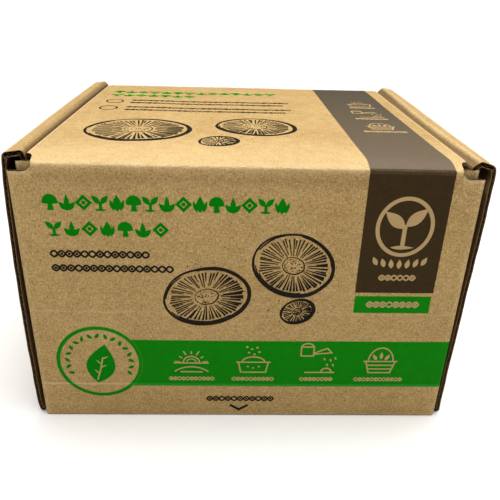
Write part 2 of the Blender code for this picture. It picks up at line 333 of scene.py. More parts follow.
class G:
    def __init__(self, name):
        self.mat = bpy.data.materials.new(name)
        self.mat.use_nodes = True
        self.nt = self.mat.node_tree
        self.nt.nodes.clear()
        self.out = self.nt.nodes.new("ShaderNodeOutputMaterial")
        self.bsdf = self.nt.nodes.new("ShaderNodeBsdfPrincipled")
        self.nt.links.new(self.bsdf.outputs[0], self.out.inputs[0])

    def put(self, sock, x):
        if isinstance(x, E):
            self.nt.links.new(x.s, sock)
        elif isinstance(x, bpy.types.NodeSocket):
            self.nt.links.new(x, sock)
        else:
            sock.default_value = x

    def m(self, op, a, b=None, clamp=False):
        n = self.nt.nodes.new("ShaderNodeMath")
        n.operation, n.use_clamp = op, clamp
        self.put(n.inputs[0], a)
        if b is not None:
            self.put(n.inputs[1], b)
        return E(self, n.outputs[0])

    def lo(self, a, b):
        return self.m("MINIMUM", a, b)

    def hi(self, a, b):
        return self.m("MAXIMUM", a, b)

    def attr(self, name):
        n = self.nt.nodes.new("ShaderNodeAttribute")
        n.attribute_name = name
        return n

    def vec_mm(self, source):
        """A vector socket in metres as one in millimetres, and its three numbers."""
        n = self.nt.nodes.new("ShaderNodeVectorMath")
        n.operation = "SCALE"
        self.nt.links.new(source, n.inputs[0])
        n.inputs["Scale"].default_value = 1000.0
        sep = self.nt.nodes.new("ShaderNodeSeparateXYZ")
        self.nt.links.new(n.outputs[0], sep.inputs[0])
        return n.outputs[0], [E(self, o) for o in sep.outputs]

    def scaled(self, vec, k):
        n = self.nt.nodes.new("ShaderNodeVectorMath")
        n.operation = "MULTIPLY"
        self.nt.links.new(vec, n.inputs[0])
        n.inputs[1].default_value = k
        return n.outputs[0]

    def noise(self, vec, size, detail=2.0, rough=0.5, warp=0.0):
        """Noise from 0 to 1 with features of that size in millimetres."""
        n = self.nt.nodes.new("ShaderNodeTexNoise")
        n.noise_dimensions = "3D"
        self.nt.links.new(vec, n.inputs["Vector"])
        n.inputs["Scale"].default_value = 1.0 / size
        n.inputs["Detail"].default_value = detail
        n.inputs["Roughness"].default_value = rough
        n.inputs["Distortion"].default_value = warp
        return E(self, n.outputs[0])

    def cells(self, vec, size, feature="F1", out="Distance", rnd=1.0):
        n = self.nt.nodes.new("ShaderNodeTexVoronoi")
        n.feature = feature
        self.nt.links.new(vec, n.inputs["Vector"])
        n.inputs["Scale"].default_value = 1.0 / size
        n.inputs["Randomness"].default_value = rnd
        return E(self, n.outputs[out])

    def mix(self, fac, a, b, mode="MIX"):
        n = self.nt.nodes.new("ShaderNodeMix")
        n.data_type, n.blend_type, n.clamp_factor = "RGBA", mode, True
        self.put(n.inputs[0], fac)
        for sock, x in ((n.inputs[6], a), (n.inputs[7], b)):
            if isinstance(x, (tuple, list)):
                sock.default_value = (*x[:3], 1.0)
            else:
                self.put(sock, x)
        return n.outputs[2]

    def bump(self, height_mm, strength=1.0, normal=None):
        n = self.nt.nodes.new("ShaderNodeBump")
        n.inputs["Strength"].default_value = strength
        n.inputs["Distance"].default_value = 0.001
        self.put(n.inputs["Height"], height_mm)
        if normal is not None:
            self.nt.links.new(normal, n.inputs["Normal"])
        return n.outputs[0]

    def set(self, **kw):
        for k, x in kw.items():
            sock = self.bsdf.inputs[k.replace("_", " ")]
            if isinstance(x, tuple) and len(x) == 3 and sock.type == "RGBA":
                x = (*x, 1.0)
            self.put(sock, x)
        return self


KRAFT_LIGHT = (0.560, 0.392, 0.170)
KRAFT_DARK = (0.288, 0.172, 0.060)
GREEN = (0.004, 0.225, 0.010)
DARK = (0.060, 0.036, 0.016)
BLACK = (0.016, 0.013, 0.010)


def kraft_look(g, vec, xyz, tone=None, washboard=True, weights=(0.34, 0.52, 1.75, 1.90, 1.15)):
    """Colour socket and height (mm) of unprinted kraft liner, in sheet coordinates."""
    broad = g.noise(vec, 46.0, 2.0, 0.5)
    cloud = g.noise(vec, 7.0, 3.0, 0.55)
    grain = g.noise(vec, 1.25, 3.0, 0.62)
    fib_a = g.noise(g.scaled(vec, (1.0, 0.24, 1.0)), 0.62, 3.0, 0.6, 0.35)
    fib_b = g.noise(g.scaled(vec, (0.30, 1.0, 1.0)), 0.70, 2.0, 0.6, 0.35)
    wt = weights
    f = broad * wt[0] + cloud * wt[1] + grain * wt[2] + fib_a * wt[3] + fib_b * wt[4] + (0.5 - sum(wt) / 2)
    f = f.clamp()
    col = g.mix(f, KRAFT_DARK, KRAFT_LIGHT)
    # scattered dark and pale fibres
    spots = g.noise(g.scaled(vec, (1.0, 0.55, 1.0)), 0.95, 1.0, 0.4, 0.6)
    col = g.mix(spots.over(0.70, 0.06) * 0.60, col, (0.17, 0.095, 0.032))
    pale = g.noise(g.scaled(vec, (0.5, 1.0, 1.0)), 1.15, 1.0, 0.4, 0.8)
    col = g.mix(pale.over(0.72, 0.06) * 0.5, col, (0.69, 0.53, 0.31))
    h = grain * 0.045 + fib_a * 0.05 + fib_b * 0.03 + cloud * 0.05
    if washboard:
        ripple = (xyz[0] * (2 * math.pi / PITCH)).sin()
        h = h + ripple * 0.016
    # tone paints light and shade into the kraft's colour: above 0 it mixes in a painted highlight, below 0 a painted
    # shade
    if tone is not None:
        ragged = (grain * 1.4 + fib_a * 1.2 - 0.9).clamp()
        up_ = (tone * (ragged * 0.9 + 0.35)).clamp()
        col = g.mix(up_, col, (0.64, 0.485, 0.285))
        painted_shade = ((tone * -1.0) * (ragged * 0.4 + 0.75)).clamp()
        col = g.mix(painted_shade, col, (0.060, 0.032, 0.013))
    return col, h, grain, fib_a


def kraft(name, tint=(1, 1, 1), cad=False, rough=0.86, washboard=True):
    g = G(name)
    if cad:
        tc = g.nt.nodes.new("ShaderNodeTexCoord")
        vec, xyz = g.vec_mm(tc.outputs["Object"])
        tone = None
    else:
        vec, xyz = g.vec_mm(g.attr("sheet").outputs["Vector"])
        tone = E(g, g.attr("tone").outputs["Fac"])
    col, h, grain, fib = kraft_look(g, vec, xyz, tone, washboard)
    if tint != (1, 1, 1):
        col = g.mix(1.0, col, tint, "MULTIPLY")
    g.set(Base_Color=col, Roughness=rough, Normal=g.bump(h, 0.9), Specular_IOR_Level=0.20)
    return g.mat


def box_mask(g, x, y, x0, x1, y0, y1, soft=0.28):
    return g.lo(g.lo(x.over(x0, soft), x.under(x1, soft)), g.lo(y.over(y0, soft), y.under(y1, soft)))


def printed(name, where):
    """Kraft with the large printed areas. where is flap, lid or crease."""
    g = G(name)
    vec, xyz = g.vec_mm(g.attr("sheet").outputs["Vector"])
    tone = E(g, g.attr("tone").outputs["Fac"])
    look = (0.34, 0.52, 1.75, 1.90, 1.15) if where == "flap" else (0.50, 0.66, 1.25, 1.25, 0.80)
    col, h, grain, fib = kraft_look(g, vec, xyz, tone, weights=look)
    rvec, (x, y, z) = g.vec_mm(g.attr("rest").outputs["Vector"])
    y = y - FACE_Y
    wob = g.noise(rvec, 1.6, 2.0, 0.6)
    x = x + (wob - 0.5) * 0.55
    thin = (grain * 1.1 + fib * 1.0 - 0.55).clamp()  # where the ink covers less
    ink_g = ink_d = None
    if where == "flap":
        z2 = z + (wob - 0.5) * 0.55
        dark = box_mask(g, x, z2, 70.0, 121.3, 102.8, 400.0)
        ring_x, ring_z = -98.0, 46.0
        dx, dz = x - ring_x, z2 - ring_z
        r = g.m("SQRT", dx * dx + dz * dz)
        band = g.lo(box_mask(g, x, z2, -98.0, 400.0, 26.4, 64.8), r.over(28.9, 0.3))
        box_ = box_mask(g, x, z2, 70.4, 120.6, 87.5, 100.4)
        green = g.lo(g.hi(band, box_), y.under(3.2, 0.6))
        ring = g.lo(r.over(26.3, 0.3), r.under(28.95, 0.3))
        ink_g, ink_d = g.hi(green, ring), dark
        # two faint scores across the flap
        s1 = (z - 27.7).abs().under(0.75, 0.9)
        s2 = (z - 86.4).abs().under(0.7, 0.9)
        h = h - s1 * 0.10 - s2 * 0.05
        col = g.mix(s1 * 0.40 * (x.over(-134.0, 4.0) * 0.4 + 0.6), col, (0.69, 0.53, 0.32))
        col = g.mix(s2 * 0.14, col, (0.69, 0.53, 0.32))
    elif where == "lid":
        x = x + y * (2.3 / 250.0)
        ink_d = g.lo(x.over(70.0, 0.3), x.under(121.4, 0.3))
        # painted light: the lid's kraft is made paler towards the front crease, where the light falls stronger
        front_light = g.m("POWER", (1.0 - y * (1 / 70.0)).clamp(), 1.3)
        col = g.mix(front_light * 0.38, col, (0.70, 0.53, 0.285))
    else:
        x = x + y * (2.3 / 250.0)
        ink_d = g.lo(x.over(70.0, 0.3), x.under(121.3, 0.3))
        # the print stops just past the back crease's upper corner
        ink_d = g.lo(ink_d, g.hi(y.under(125.0, 5.0), z.over(186.4, 0.4)))
    cover_d = ink_d * (1.0 - thin * {"flap": 0.03, "lid": 0.10, "crease": 0.12}[where])
    dark_col = g.mix(g.noise(vec, 5.0, 3.0, 0.6), (0.027, 0.016, 0.006), (0.044, 0.027, 0.011))
    if where == "lid":
        # painted sheen: the lid's dark ink is lighter than the flap's, and lighter still towards the front crease
        sheen_front = g.m("POWER", (1.0 - y * (1 / 250.0)).clamp(), 1.6)
        sheen_ink = g.mix(sheen_front, (0.058, 0.050, 0.034), (0.126, 0.094, 0.064))
        dark_col = g.mix(g.noise(vec, 5.0, 3.0, 0.6) * 0.30, sheen_ink, (0.034, 0.026, 0.016))
    elif where == "crease":
        # painted sheen: past the back crease the ink takes the lid's sheen-lightened colour
        dark_col = g.mix(y.over(125.0, 5.0), dark_col, (0.058, 0.050, 0.034))
    col = g.mix(cover_d, col, dark_col)
    inked = ink_d
    if ink_g is not None:
        green_col = g.mix(g.noise(vec, 6.0, 3.0, 0.6), (0.0003, 0.160, 0.0010), (0.0010, 0.225, 0.0025))
        col = g.mix(ink_g * (1.0 - thin * 0.02), col, green_col)
        score = (z - 27.7).abs().under(0.75, 0.9)
        col = g.mix(score * ink_g * 0.35, col, (0.02, 0.42, 0.05))
        inked = g.hi(ink_g, ink_d)
    rough = 0.86 - inked * 0.30 + (grain - 0.5) * 0.12
    g.set(Base_Color=col, Roughness=rough, Normal=g.bump(h, 0.9), Specular_IOR_Level={"flap": 0.02, "lid": 0.11, "crease": 0.05}[where])
    return g.mat


def core_paper(name, a, b, rough=0.95):
    g = G(name)
    vec, xyz = g.vec_mm(g.attr("sheet").outputs["Vector"])
    n1 = g.noise(vec, 1.3, 3.0, 0.65)
    n2 = g.noise(g.scaled(vec, (0.4, 1.0, 1.0)), 0.6, 2.0, 0.6)
    col = g.mix((n1 * 1.3 + n2 * 0.9 - 0.6).clamp(), a, b)
    g.set(Base_Color=col, Roughness=rough, Normal=g.bump(n1 * 0.08 + n2 * 0.06, 1.0), Specular_IOR_Level=0.15)
    return g.mat


def ink(name, colour, light=None, rough=0.6):
    g = G(name)
    vec, xyz = g.vec_mm(g.attr("rest").outputs["Vector"])
    n = g.noise(vec, 0.8, 3.0, 0.6)
    n2 = g.noise(vec, 5.0, 2.0, 0.5)
    light = light or tuple(min(1.0, c * 1.5 + 0.012) for c in colour)
    col = g.mix((n * 0.8 + n2 * 0.5 - 0.35).clamp(), colour, light)
    g.set(Base_Color=col, Roughness=rough, Normal=g.bump(n * 0.05, 0.7), Specular_IOR_Level=0.03)
    return g.mat


M_FLAP = printed("board_printed_flap", "flap")
M_LID = printed("board_printed_lid", "lid")
M_CREASE = printed("board_printed_crease", "crease")
M_OUT = kraft("board_outside")
M_IN = kraft("board_inside", tint=(0.98, 0.95, 0.90))
# painted shade: the cut rims, the liners' faces inside the flutes and the medium get dark browns well below the kraft's
# own colour, for the shade in the flute hollows
M_EDGE = core_paper("board_cut_edge", (0.085, 0.047, 0.019), (0.270, 0.170, 0.074))
M_MEDIUM = core_paper("board_medium", (0.050, 0.028, 0.012), (0.150, 0.088, 0.040))
M_GREEN = ink("ink_green", (0.0003, 0.160, 0.0010), (0.0015, 0.220, 0.003))
M_BLACK = ink("ink_black", (0.010, 0.008, 0.006), (0.030, 0.023, 0.016))
M_BARE = ink("bare_board", (0.400, 0.270, 0.120), (0.520, 0.365, 0.175), rough=0.85)


# ---------------------------------------------------------------- tray: side walls that roll over
def side_path(sign):
    p = Path(141.75, 1.25, 0).arc(1.5, 90)
    if sign < 0:
        return p.line(186.2 - 2.75).arc(1.3, 82).line(8.9).arc(1.5, 98).line(186.4 - 2.8)
    return p.line(185.7 - 2.75).arc(1.3, 76).line(5.96).arc(1.35, 50).line(3.9).arc(1.5, 54).line(184.67 - 2.8)


# the outer wall's face along its front edge, height against distance from the middle
LEAN = {
    -1: ((0, 10, 45, 77, 107, 135, 161, 173, 185, 192), (145.2, 145.5, 145.9, 146.1, 145.7, 145.1, 144.1, 143.5, 142.4, 142.2)),
    1: ((0, 12, 47, 81, 111, 140, 167, 185, 192), (144.1, 144.2, 144.4, 145.0, 145.4, 145.9, 146.3, 146.0, 146.0)),
}


def tray_side(sign, name, nodes):
    p = side_path(sign)
    w0, w1 = p.bends[0][1], p.bends[1][0]  # the outer wall
    t0 = p.bends[1][1]  # the strip
    i0 = p.bends[-1][1]  # the inner wall
    slope = p.bends[2][1] if sign > 0 else i0 - 2.9  # where the strip starts to fall to the lid
    end = p.length
    seed = 41 if sign > 0 else 67

    def lo(s, w):
        y = np.interp(s, [0, 2.4, 6, w1 - 1, t0, i0, i0 + 3], [4.2, 3.2, 3.0, 3.0, 4.5, 4.6, 6.6])
        return y + 0.35 * noise(s / 9.0, 0, 0, seed) * step(s, 3, 8)

    def hi(s, w):
        return np.interp(s, [0, 2.4, 6, w1 - 1, t0, i0, i0 + 3], [248.0, 249.3, 250.5, 250.5, 250.3, 250.2, 247.9])

    def M(s, v, w):
        crush = 0.0 * s
        for a, b in p.bends[1:]:
            crush = crush + 0.20 * step(s, a - 2.0, a) * (1 - step(s, b, b + 2.0))
        w = np.where(w < 0, w * (1 - crush), w)
        a, b, na, nb = p.at(s)
        x, z = a + na * w, b + nb * w
        front, back = 1 - step(v, 0, 150), step(v, 110, 245)
        lean = np.interp(b, *LEAN[sign]) - 144.5
        bow = 1.0 * np.sin(math.pi * np.clip((s - w0) / (w1 - w0), 0, 1))
        bow = bow + 0.35 * noise(s / 40.0, v / 60.0, 0, seed) * step(s, w0, w0 + 30) * (1 - step(s, w1 - 30, w1))
        outer = (lean * front + bow * (1 - front)) * step(s, 0.5, 10)
        if sign < 0:
            inner_ = -1.2 * (1 - step(v, 3, 12)) * step(b, 120, 180)
        else:
            inner_ = 1.5 * (1 - step(v, 3, 60)) * step(b, 120, 180)
        k = step(s, t0 - 1, i0)
        flare = (2.6 if sign > 0 else 0.3) * back * step(b, 70, 186)
        x = x + outer * (1 - k) + inner_ * k + flare
        # the rolled top sags a little towards the back, and dents slightly
        top = step(z, 150, 186)
        if sign < 0:
            rounding = np.interp(v, (0, 60, 130, 251), (0.0, 0.03, 0.20, 0.75)) * np.clip(134.5 - x, 0, 4.2)
            z = z + top * (1.0 - 0.2 * v / 251.0) - rounding * step(z, 178, 187)
        else:
            ridge = np.interp(v, (0, 60, 130, 190, 251), (0.0, 0.1, 0.7, 1.3, 1.9))
            rim = np.interp(v, (0, 10, 25, 45, 70, 100, 130, 190, 251), (-0.6, -0.55, -0.25, 0.05, 0.6, 1.2, 1.7, 1.75, 1.6))
            u = np.clip((x - 136.5) / 6.5, 0, 1)
            z = z + top * np.where(x > 136.5, ridge + (rim - ridge) * u, ridge * (0.3 + 0.7 * np.clip((x - 131.0) / 5.5, 0, 1)))
            x = x + 1.0 * step(v, 60, 130) * top * step(x, 139, 144)
        z = z + 0.12 * noise(v / 23.0, s / 30.0, 0, seed + 3) * top
        x = x + 0.12 * noise(v / 31.0, s / 26.0, 2, seed + 4) * top * (1 - k)
        return np.stack([sign * x, v, z], -1)

    def inner(s, v, w):
        # the inside liner comes loose and buckles at the front of the roll
        near = (1 - step(v, 4.0, 12.0)) * step(s, w1 - 6, t0) * (1 - step(s, i0 + 1, i0 + 9))
        buckle = near * (0.45 + 0.95 * np.abs(noise(s / 1.5, v / 2.2, 0, seed + 8)))
        return M(s, v, w - buckle)

    def tone(s, v, w):
        t = 0.0 * s
        # painted highlights along the outer faces of the folds and along the front cut edge
        for a, b in p.bends[1:]:
            t = t + 0.45 * step(s, a - 1.2, a + 0.2) * (1 - step(s, b - 0.2, b + 1.2)) * (w > 0)
        edge = (1 - step(v, 3.0, 5.2)) * (w > 0) * (s > w0)
        t = t + 0.55 * edge
        # deep shade inside the roll and in the slit beside the flap
        t = t - 1.0 * (w < 0) * (1 - step(v, 12, 30)) * step(s, w1 - 16, w1 - 2) * (1 - step(s, i0 - 1, i0 + 12))
        low = (1 - step(s, w1 - 20, w1 - 8)) if sign > 0 else (1 - step(s, w1 - 2, w1))
        t = t - 0.85 * (w < 0) * (1 - step(v, 10, 30)) * (s > w0) * low
        # painted shade on the face turned to the lid, deepest near its foot; on the left roll it starts higher up the
        # slope and deepens towards the back
        t = t - (w > 0) * (0.50 * step(s, slope - 0.4, slope + 0.5) + 0.50 * step(s, slope + 0.8, i0 - 0.6))
        if sign < 0:
            t = t - (w > 0) * 0.50 * step(s, slope - 2.2, slope + 0.4) * (0.25 + 0.75 * step(v, 10, 190))
        return t

    buf = Buf()
    board(buf, 0, end, lo, hi, M, p.bends, tone, 0.4, seed=seed, mats=(0, 1, 2, 3), inner=inner, pitch_l=1.6)
    # the two lock tabs at the foot of the inner wall
    for yc in (76.0, 175.0):
        board(buf, end - 0.2, end + 2.4, lambda s, w: 0 * s + yc - 24.6, lambda s, w: 0 * s + yc + 24.6, M, (), tone, 0.4, rows=np.linspace(0, 1, 9), seed=seed + 2, mats=(0, 1, 2, 3))
    o = buf.object(name, [M_OUT, M_IN, M_EDGE, M_MEDIUM])
    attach(o, "tray")
    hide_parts(*nodes)
    return o


tray_side(1, "side_wall_right", ["outer_side_wall_right", "roll_over_strip_right", "inner_side_wall_right"])
tray_side(-1, "side_wall_left", ["outer_side_wall_left", "roll_over_strip_left", "inner_side_wall_left"])

# ---------------------------------------------------------------- tray: front wall and its dust flaps
fw = Path(4.75, 187.9, 270).line(187.9 - 2.75).arc(1.5, 90).line(0.3)


def front_wall():
    buf = Buf()

    def lo(s, w):
        ax = np.abs(s)
        top = np.where(ax > 126.1, 184.7 + 0.35 * noise(s / 1.3, 0, 0, 15), 182.1)
        return 187.9 - top

    def hi(s, w):
        return 0 * s + fw.length

    def M(s, v, w):
        a, b, na, nb = fw.at(v)
        y = a + na * w + 0.35 * noise(s / 60.0, b / 50.0, 0, 5) * step(b, 10, 60) * (1 - step(b, 150, 180))
        return np.stack([s, y, b + nb * w], -1)

    # painted highlight along the top of the shoulders beside the notches
    def tone(s, v, w):
        return 0.42 * (1 - step(v, 2.6, 5.0)) * step(np.abs(s), 125.5, 127) * (0.8 + 0.5 * noise(s / 1.2, v / 1.5, 0, 16))

    xs = [sg * e for sg in (-1, 1) for e in (126.05, 126.15)]
    rows = np.unique(np.concatenate([ROWS, np.linspace(0.975, 1.0, 8)]))
    board(buf, -133.0, 134.15, lo, hi, M, (), tone, 0.2, rows=rows, seed=81, extra=xs, mats=(0, 1, 2, 3), pitch_l=2.0)
    for sign in (-1, 1):
        p = Path(134.15 if sign > 0 else 133.0, 4.75, 0).arc(1.5, 90).line(72.0 - 6.25)

        def lo2(s, w):
            return np.interp(s, [0, 2.36, 4.0, p.length], [3.0, 3.1, 3.1, 5.6])

        def hi2(s, w):
            return np.interp(s, [0, 1.4, 2.6, 9.0, p.length], [184.9, 184.6, 181.8, 181.2, 178.0])

        def M2(s, v, w, sign=sign, p=p):
            a, b, na, nb = p.at(s)
            return np.stack([sign * (a + na * w), b + nb * w, v], -1)

        # painted highlight on the dust flap's fold, painted shade further into the pocket
        def tone2(s, v, w):
            return 0.8 * (1 - step(s, 1.5, 4.0)) * (w > 0) - 0.7 * step(s, 4.0, 9.0)

        board(buf, 0, p.length, lo2, hi2, M2, p.bends, tone2, 0.2, seed=83, mats=(0, 1, 2, 3), pitch_l=2.0)
    o = buf.object("front_wall_board", [M_OUT, M_IN, M_EDGE, M_MEDIUM])
    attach(o, "tray")
    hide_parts("front_wall", "front_dust_flap_left", "front_dust_flap_right")


front_wall()

# ---------------------------------------------------------------- tray: back wall and its dust flaps
bw = Path(248.25, 1.25, 0).arc(1.5, 90).line(182.5 - 2.75)


def back_wall():
    buf = Buf()

    def lo(s, w):
        return 0 * s

    def hi(s, w):
        ax = np.abs(s)
        return 2.356 + (182.5 - 2.75) - (HALF - w) * (1 - step(ax, 127.6, 128.4)) - 3.0 * step(ax, 128.0, 129.5)

    def M(s, v, w):
        a, b, na, nb = bw.at(v)
        bow = 0.9 * np.cos(math.pi * s / 280.0) * np.sin(math.pi * np.clip(b / 182.5, 0, 1))
        return np.stack([s, a + na * w + bow, b + nb * w], -1)

    # painted highlight along the top edge of the back wall
    def tone(s, v, w):
        return 0.5 * step(v, 176.3, 181.3) * (w > 0) * (0.6 + 0.4 * noise(s / 3.0, 0, 0, 4))

    rows = np.unique(np.concatenate([ROWS, np.linspace(0.0, 0.02, 8)]))
    board(buf, -136.95, 136.95, lo, hi, M, (), tone, 1.1, rows=rows, seed=91, mats=(0, 1, 2, 3), pitch_l=2.0, extra=(-129.5, -128.4, -127.6, 127.6, 128.4, 129.5))
    for sign in (-1, 1):
        p = Path(138.45, 178.0, 90).line(248.25 - 178.0).arc(1.5, 90)

        def lo2(s, w):
            return np.interp(s, [0, 60.0, p.length - 2.4, p.length], [5.6, 3.1, 3.1, 2.9])

        def hi2(s, w):
            return np.interp(s, [0, p.length - 8.0, p.length - 2.4, p.length], [178.5, 180.2, 180.2, 180.2])

        def M2(s, v, w, sign=sign, p=p):
            a, b, na, nb = p.at(s)
            return np.stack([sign * (a + na * w), b + nb * w, v], -1)

        # painted highlight on the dust flap's fold
        def tone2(s, v, w):
            return 0.6 * step(s, p.length - 4.0, p.length - 1.5) * (w > 0)

        board(buf, 0, p.length, lo2, hi2, M2, p.bends, tone2, 0.2, seed=93, mats=(0, 1, 2, 3), pitch_l=2.0)
    o = buf.object("back_wall_board", [M_OUT, M_IN, M_EDGE, M_MEDIUM])
    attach(o, "tray")
    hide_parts("back_wall", "back_dust_flap_left", "back_dust_flap_right")


back_wall()

# ---------------------------------------------------------------- lid
LID_MID = 183.75


def lid_bulge(x, y):
    """The lid springs up behind its front crease and stays up to the back one."""
    near, far = np.clip((y - 2.5) / 13.5, 0, 1), np.clip((248.5 - y) / 7.0, 0, 1)
    up_ = (1 - (1 - near) ** 2.3) * (1 - 0.14 * (1 - far) ** 2.0)
    dent = 0.26 * noise(x / 46.0, y / 52.0, 0, 12) + 0.10 * noise(x / 17.0, y / 19.0, 1, 13)
    back = (0.25 + 0.0042 * x) * step(y, 120.0, 245.0)
    return (2.9 + back + dent * (1 - step(np.abs(x), 118.0, 130.0))) * up_


def lid_point(x, y, w):
    x, y, w = np.broadcast_arrays(np.asarray(x, float), np.asarray(y, float), np.asarray(w, float))
    return np.stack([x, y, LID_MID + w + lid_bulge(x, y)], -1)


def lid():
    buf = Buf()

    def lo(s, w):
        ax = np.abs(s)
        base = 2.5 + (HALF - w)
        bite = 6.2 + 4.6 * np.sqrt(np.clip(1 - ((130.0 - np.clip(ax, 126.2, 130.0)) / 3.8) ** 2, 0, 1))
        return np.where(ax > 126.2, np.maximum(base, bite), base)

    def hi(s, w):
        ax = np.abs(s)
        base = 248.5 - (HALF - w)
        return base - 3.2 * step(ax, 127.8, 128.6)

    def tone(s, v, w):
        # painted highlights along the lid's front, side and back edges
        ax = np.abs(s)
        t = 0.36 * (1 - step(v, 2.5, 8.0)) * (w > 0) * (0.7 + 0.5 * noise(s / 4.0, v / 2.0, 0, 6))
        t = t + 0.75 * step(ax, 128.7, 129.6) * (w > 0)
        t = t + 0.35 * step(v, 243.0, 248.0) * (w > 0)
        return t

    xs = [sign * e for sign in (-1, 1) for e in (126.15, 126.25, 126.4, 126.6, 127.0, 127.5, 127.8, 128.2, 128.6, 129.0, 129.4)]
    near = np.array([0.008, 0.018, 0.024, 0.036, 0.045, 0.052, 0.08])
    rows = np.unique(np.concatenate([ROWS, near, [0.96, 0.978, 0.98, 0.99]]))
    board(buf, -130.0, 130.0, lo, hi, lambda s, v, w: lid_point(s, v, w), (), tone, 0.9, rows=rows, seed=21, extra=xs, mats=(0, 1, 2, 3), pitch_l=1.6)
    o = buf.object("lid_board", [M_LID, M_IN, M_EDGE, M_MEDIUM])
    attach(o, "lid")
    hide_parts("lid_panel")


lid()

# ---------------------------------------------------------------- front flap and its two ears
fp = Path(-138.75, 60.0, 270).line(57.25).arc(1.5, 90).line(274.5).arc(1.5, 90).line(57.25)
FP_MID = fp.length / 2
SWING = math.sqrt((251.0 - 4.5) ** 2 + (190.0 - 185.0) ** 2) + 0.4


def flap_bulge(x, z):
    u = np.clip(z / 182.5, 0, 1)
    c = np.cos(math.pi * np.clip(x / 276.0, -0.5, 0.5))
    return 0.8 * c * np.sin(math.pi * u) + 0.22 * noise(x / 62.0, z / 55.0, 0, 14) * np.sin(math.pi * u) * c


def flap_point(x, z, w):
    """A point of the flap's front panel."""
    x, z, w = np.broadcast_arrays(np.asarray(x, float), np.asarray(z, float), np.asarray(w, float))
    return np.stack([x, 1.25 - w - flap_bulge(x, z), z], -1)


def flap():
    buf = Buf()
    k0, k1 = 137.25, 139.6

    def xy(s):
        a, b, na, nb = fp.at(s)
        return np.abs(a), b

    def lo(s, w):
        ax, y = xy(s)
        d = np.abs(s - FP_MID)
        ear = 185.0 - np.sqrt(np.clip(181.0**2 - y**2, 0, None))
        return 0.45 + (ear - 0.45) * step(d, 138.0, 139.8)

    def hi(s, w):
        ax, y = xy(s)
        d = np.abs(s - FP_MID)
        front = np.full_like(s, 182.5) - (HALF - w)
        notch = 185.0 - np.sqrt(np.clip(5.2**2 - (130.9 - np.clip(ax, 0, 130.9)) ** 2, 0, None))
        front = np.where(ax > 125.7, np.minimum(front, notch), front)
        b = np.maximum(np.sqrt(np.clip(SWING**2 - (251.0 - y) ** 2, 0, None)), 5.2)
        ear = 185.0 - b
        return np.where(d > 138.5, np.minimum(ear, 179.8), front)

    def M(s, v, w):
        a, b, na, nb = fp.at(s)
        d = np.abs(s - FP_MID)
        crush = 0.18 * step(d, 135.8, 137.4) * (1 - step(d, 139.4, 141.0))
        w = np.where(w < 0, w * (1 - crush), w)
        x, y = a + na * w, b + nb * w
        y = y - flap_bulge(a, v) * (d < 137.25)
        # just under the crease the face is pressed in a little
        y = y + 0.22 * np.exp(-((v - 177.8) ** 2) / 9.0) * (d < 125) * (w > 0)
        # the foot of the fold gives outwards a little
        x = x + np.sign(a) * 0.25 * step(d, 136, 138) * np.sin(math.pi * np.clip(v / 181.0, 0, 1))
        return np.stack([x, y, v], -1)

    # painted light and shade in the flap's colour: highlights along the side folds and just below the crease, a narrow
    # painted shadow under the crease, painted shade on the inside of the folds, and a pale notch edge that is frayed
    # fibres with a painted highlight; the bottom edge is made paler
    def tone(s, v, w):
        d = np.abs(s - FP_MID)
        n = noise(s / 1.6, v / 5.0, 0, 6)
        fold = step(d, 135.6, 137.2) * (1 - step(d, 139.6, 141.2)) * (w > 0)
        t = 0.34 * fold * (0.75 + 0.55 * n)
        t = t + 0.16 * step(v, 180.6, 182.4) * (d < 126) * (w > 0)
        t = t - 0.20 * np.exp(-((v - 177.6) ** 2) / 6.0) * (d < 126) * (w > 0)
        t = t + 0.95 * step(d, 125.5, 127) * step(v, 176.6, 179.4) * (d < 141) * (w > 0) * (0.8 + 0.5 * n)
        t = t - 0.9 * (w < 0) * step(d, 137.5, 139.5)
        t = t + 0.30 * (1 - step(v, 0.4, 3.0)) * (w > 0)
        return t

    ex = [FP_MID + sgn * e for sgn in (-1, 1) for e in (125.65, 125.75, 126.0, 126.4, 126.9, 127.5, 128.3, 129.4, 130.9, 137.0, 138.4, 138.6)]
    board(buf, 0, fp.length, lo, hi, M, fp.bends, tone, 0.0, seed=31, extra=ex, mats=(0, 1, 2, 3), pitch_l=1.3)
    o = buf.object("front_flap_board", [M_FLAP, M_IN, M_EDGE, M_MEDIUM])
    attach(o, "flap")
    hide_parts("front_flap", "flap_ear_left", "flap_ear_right")


flap()


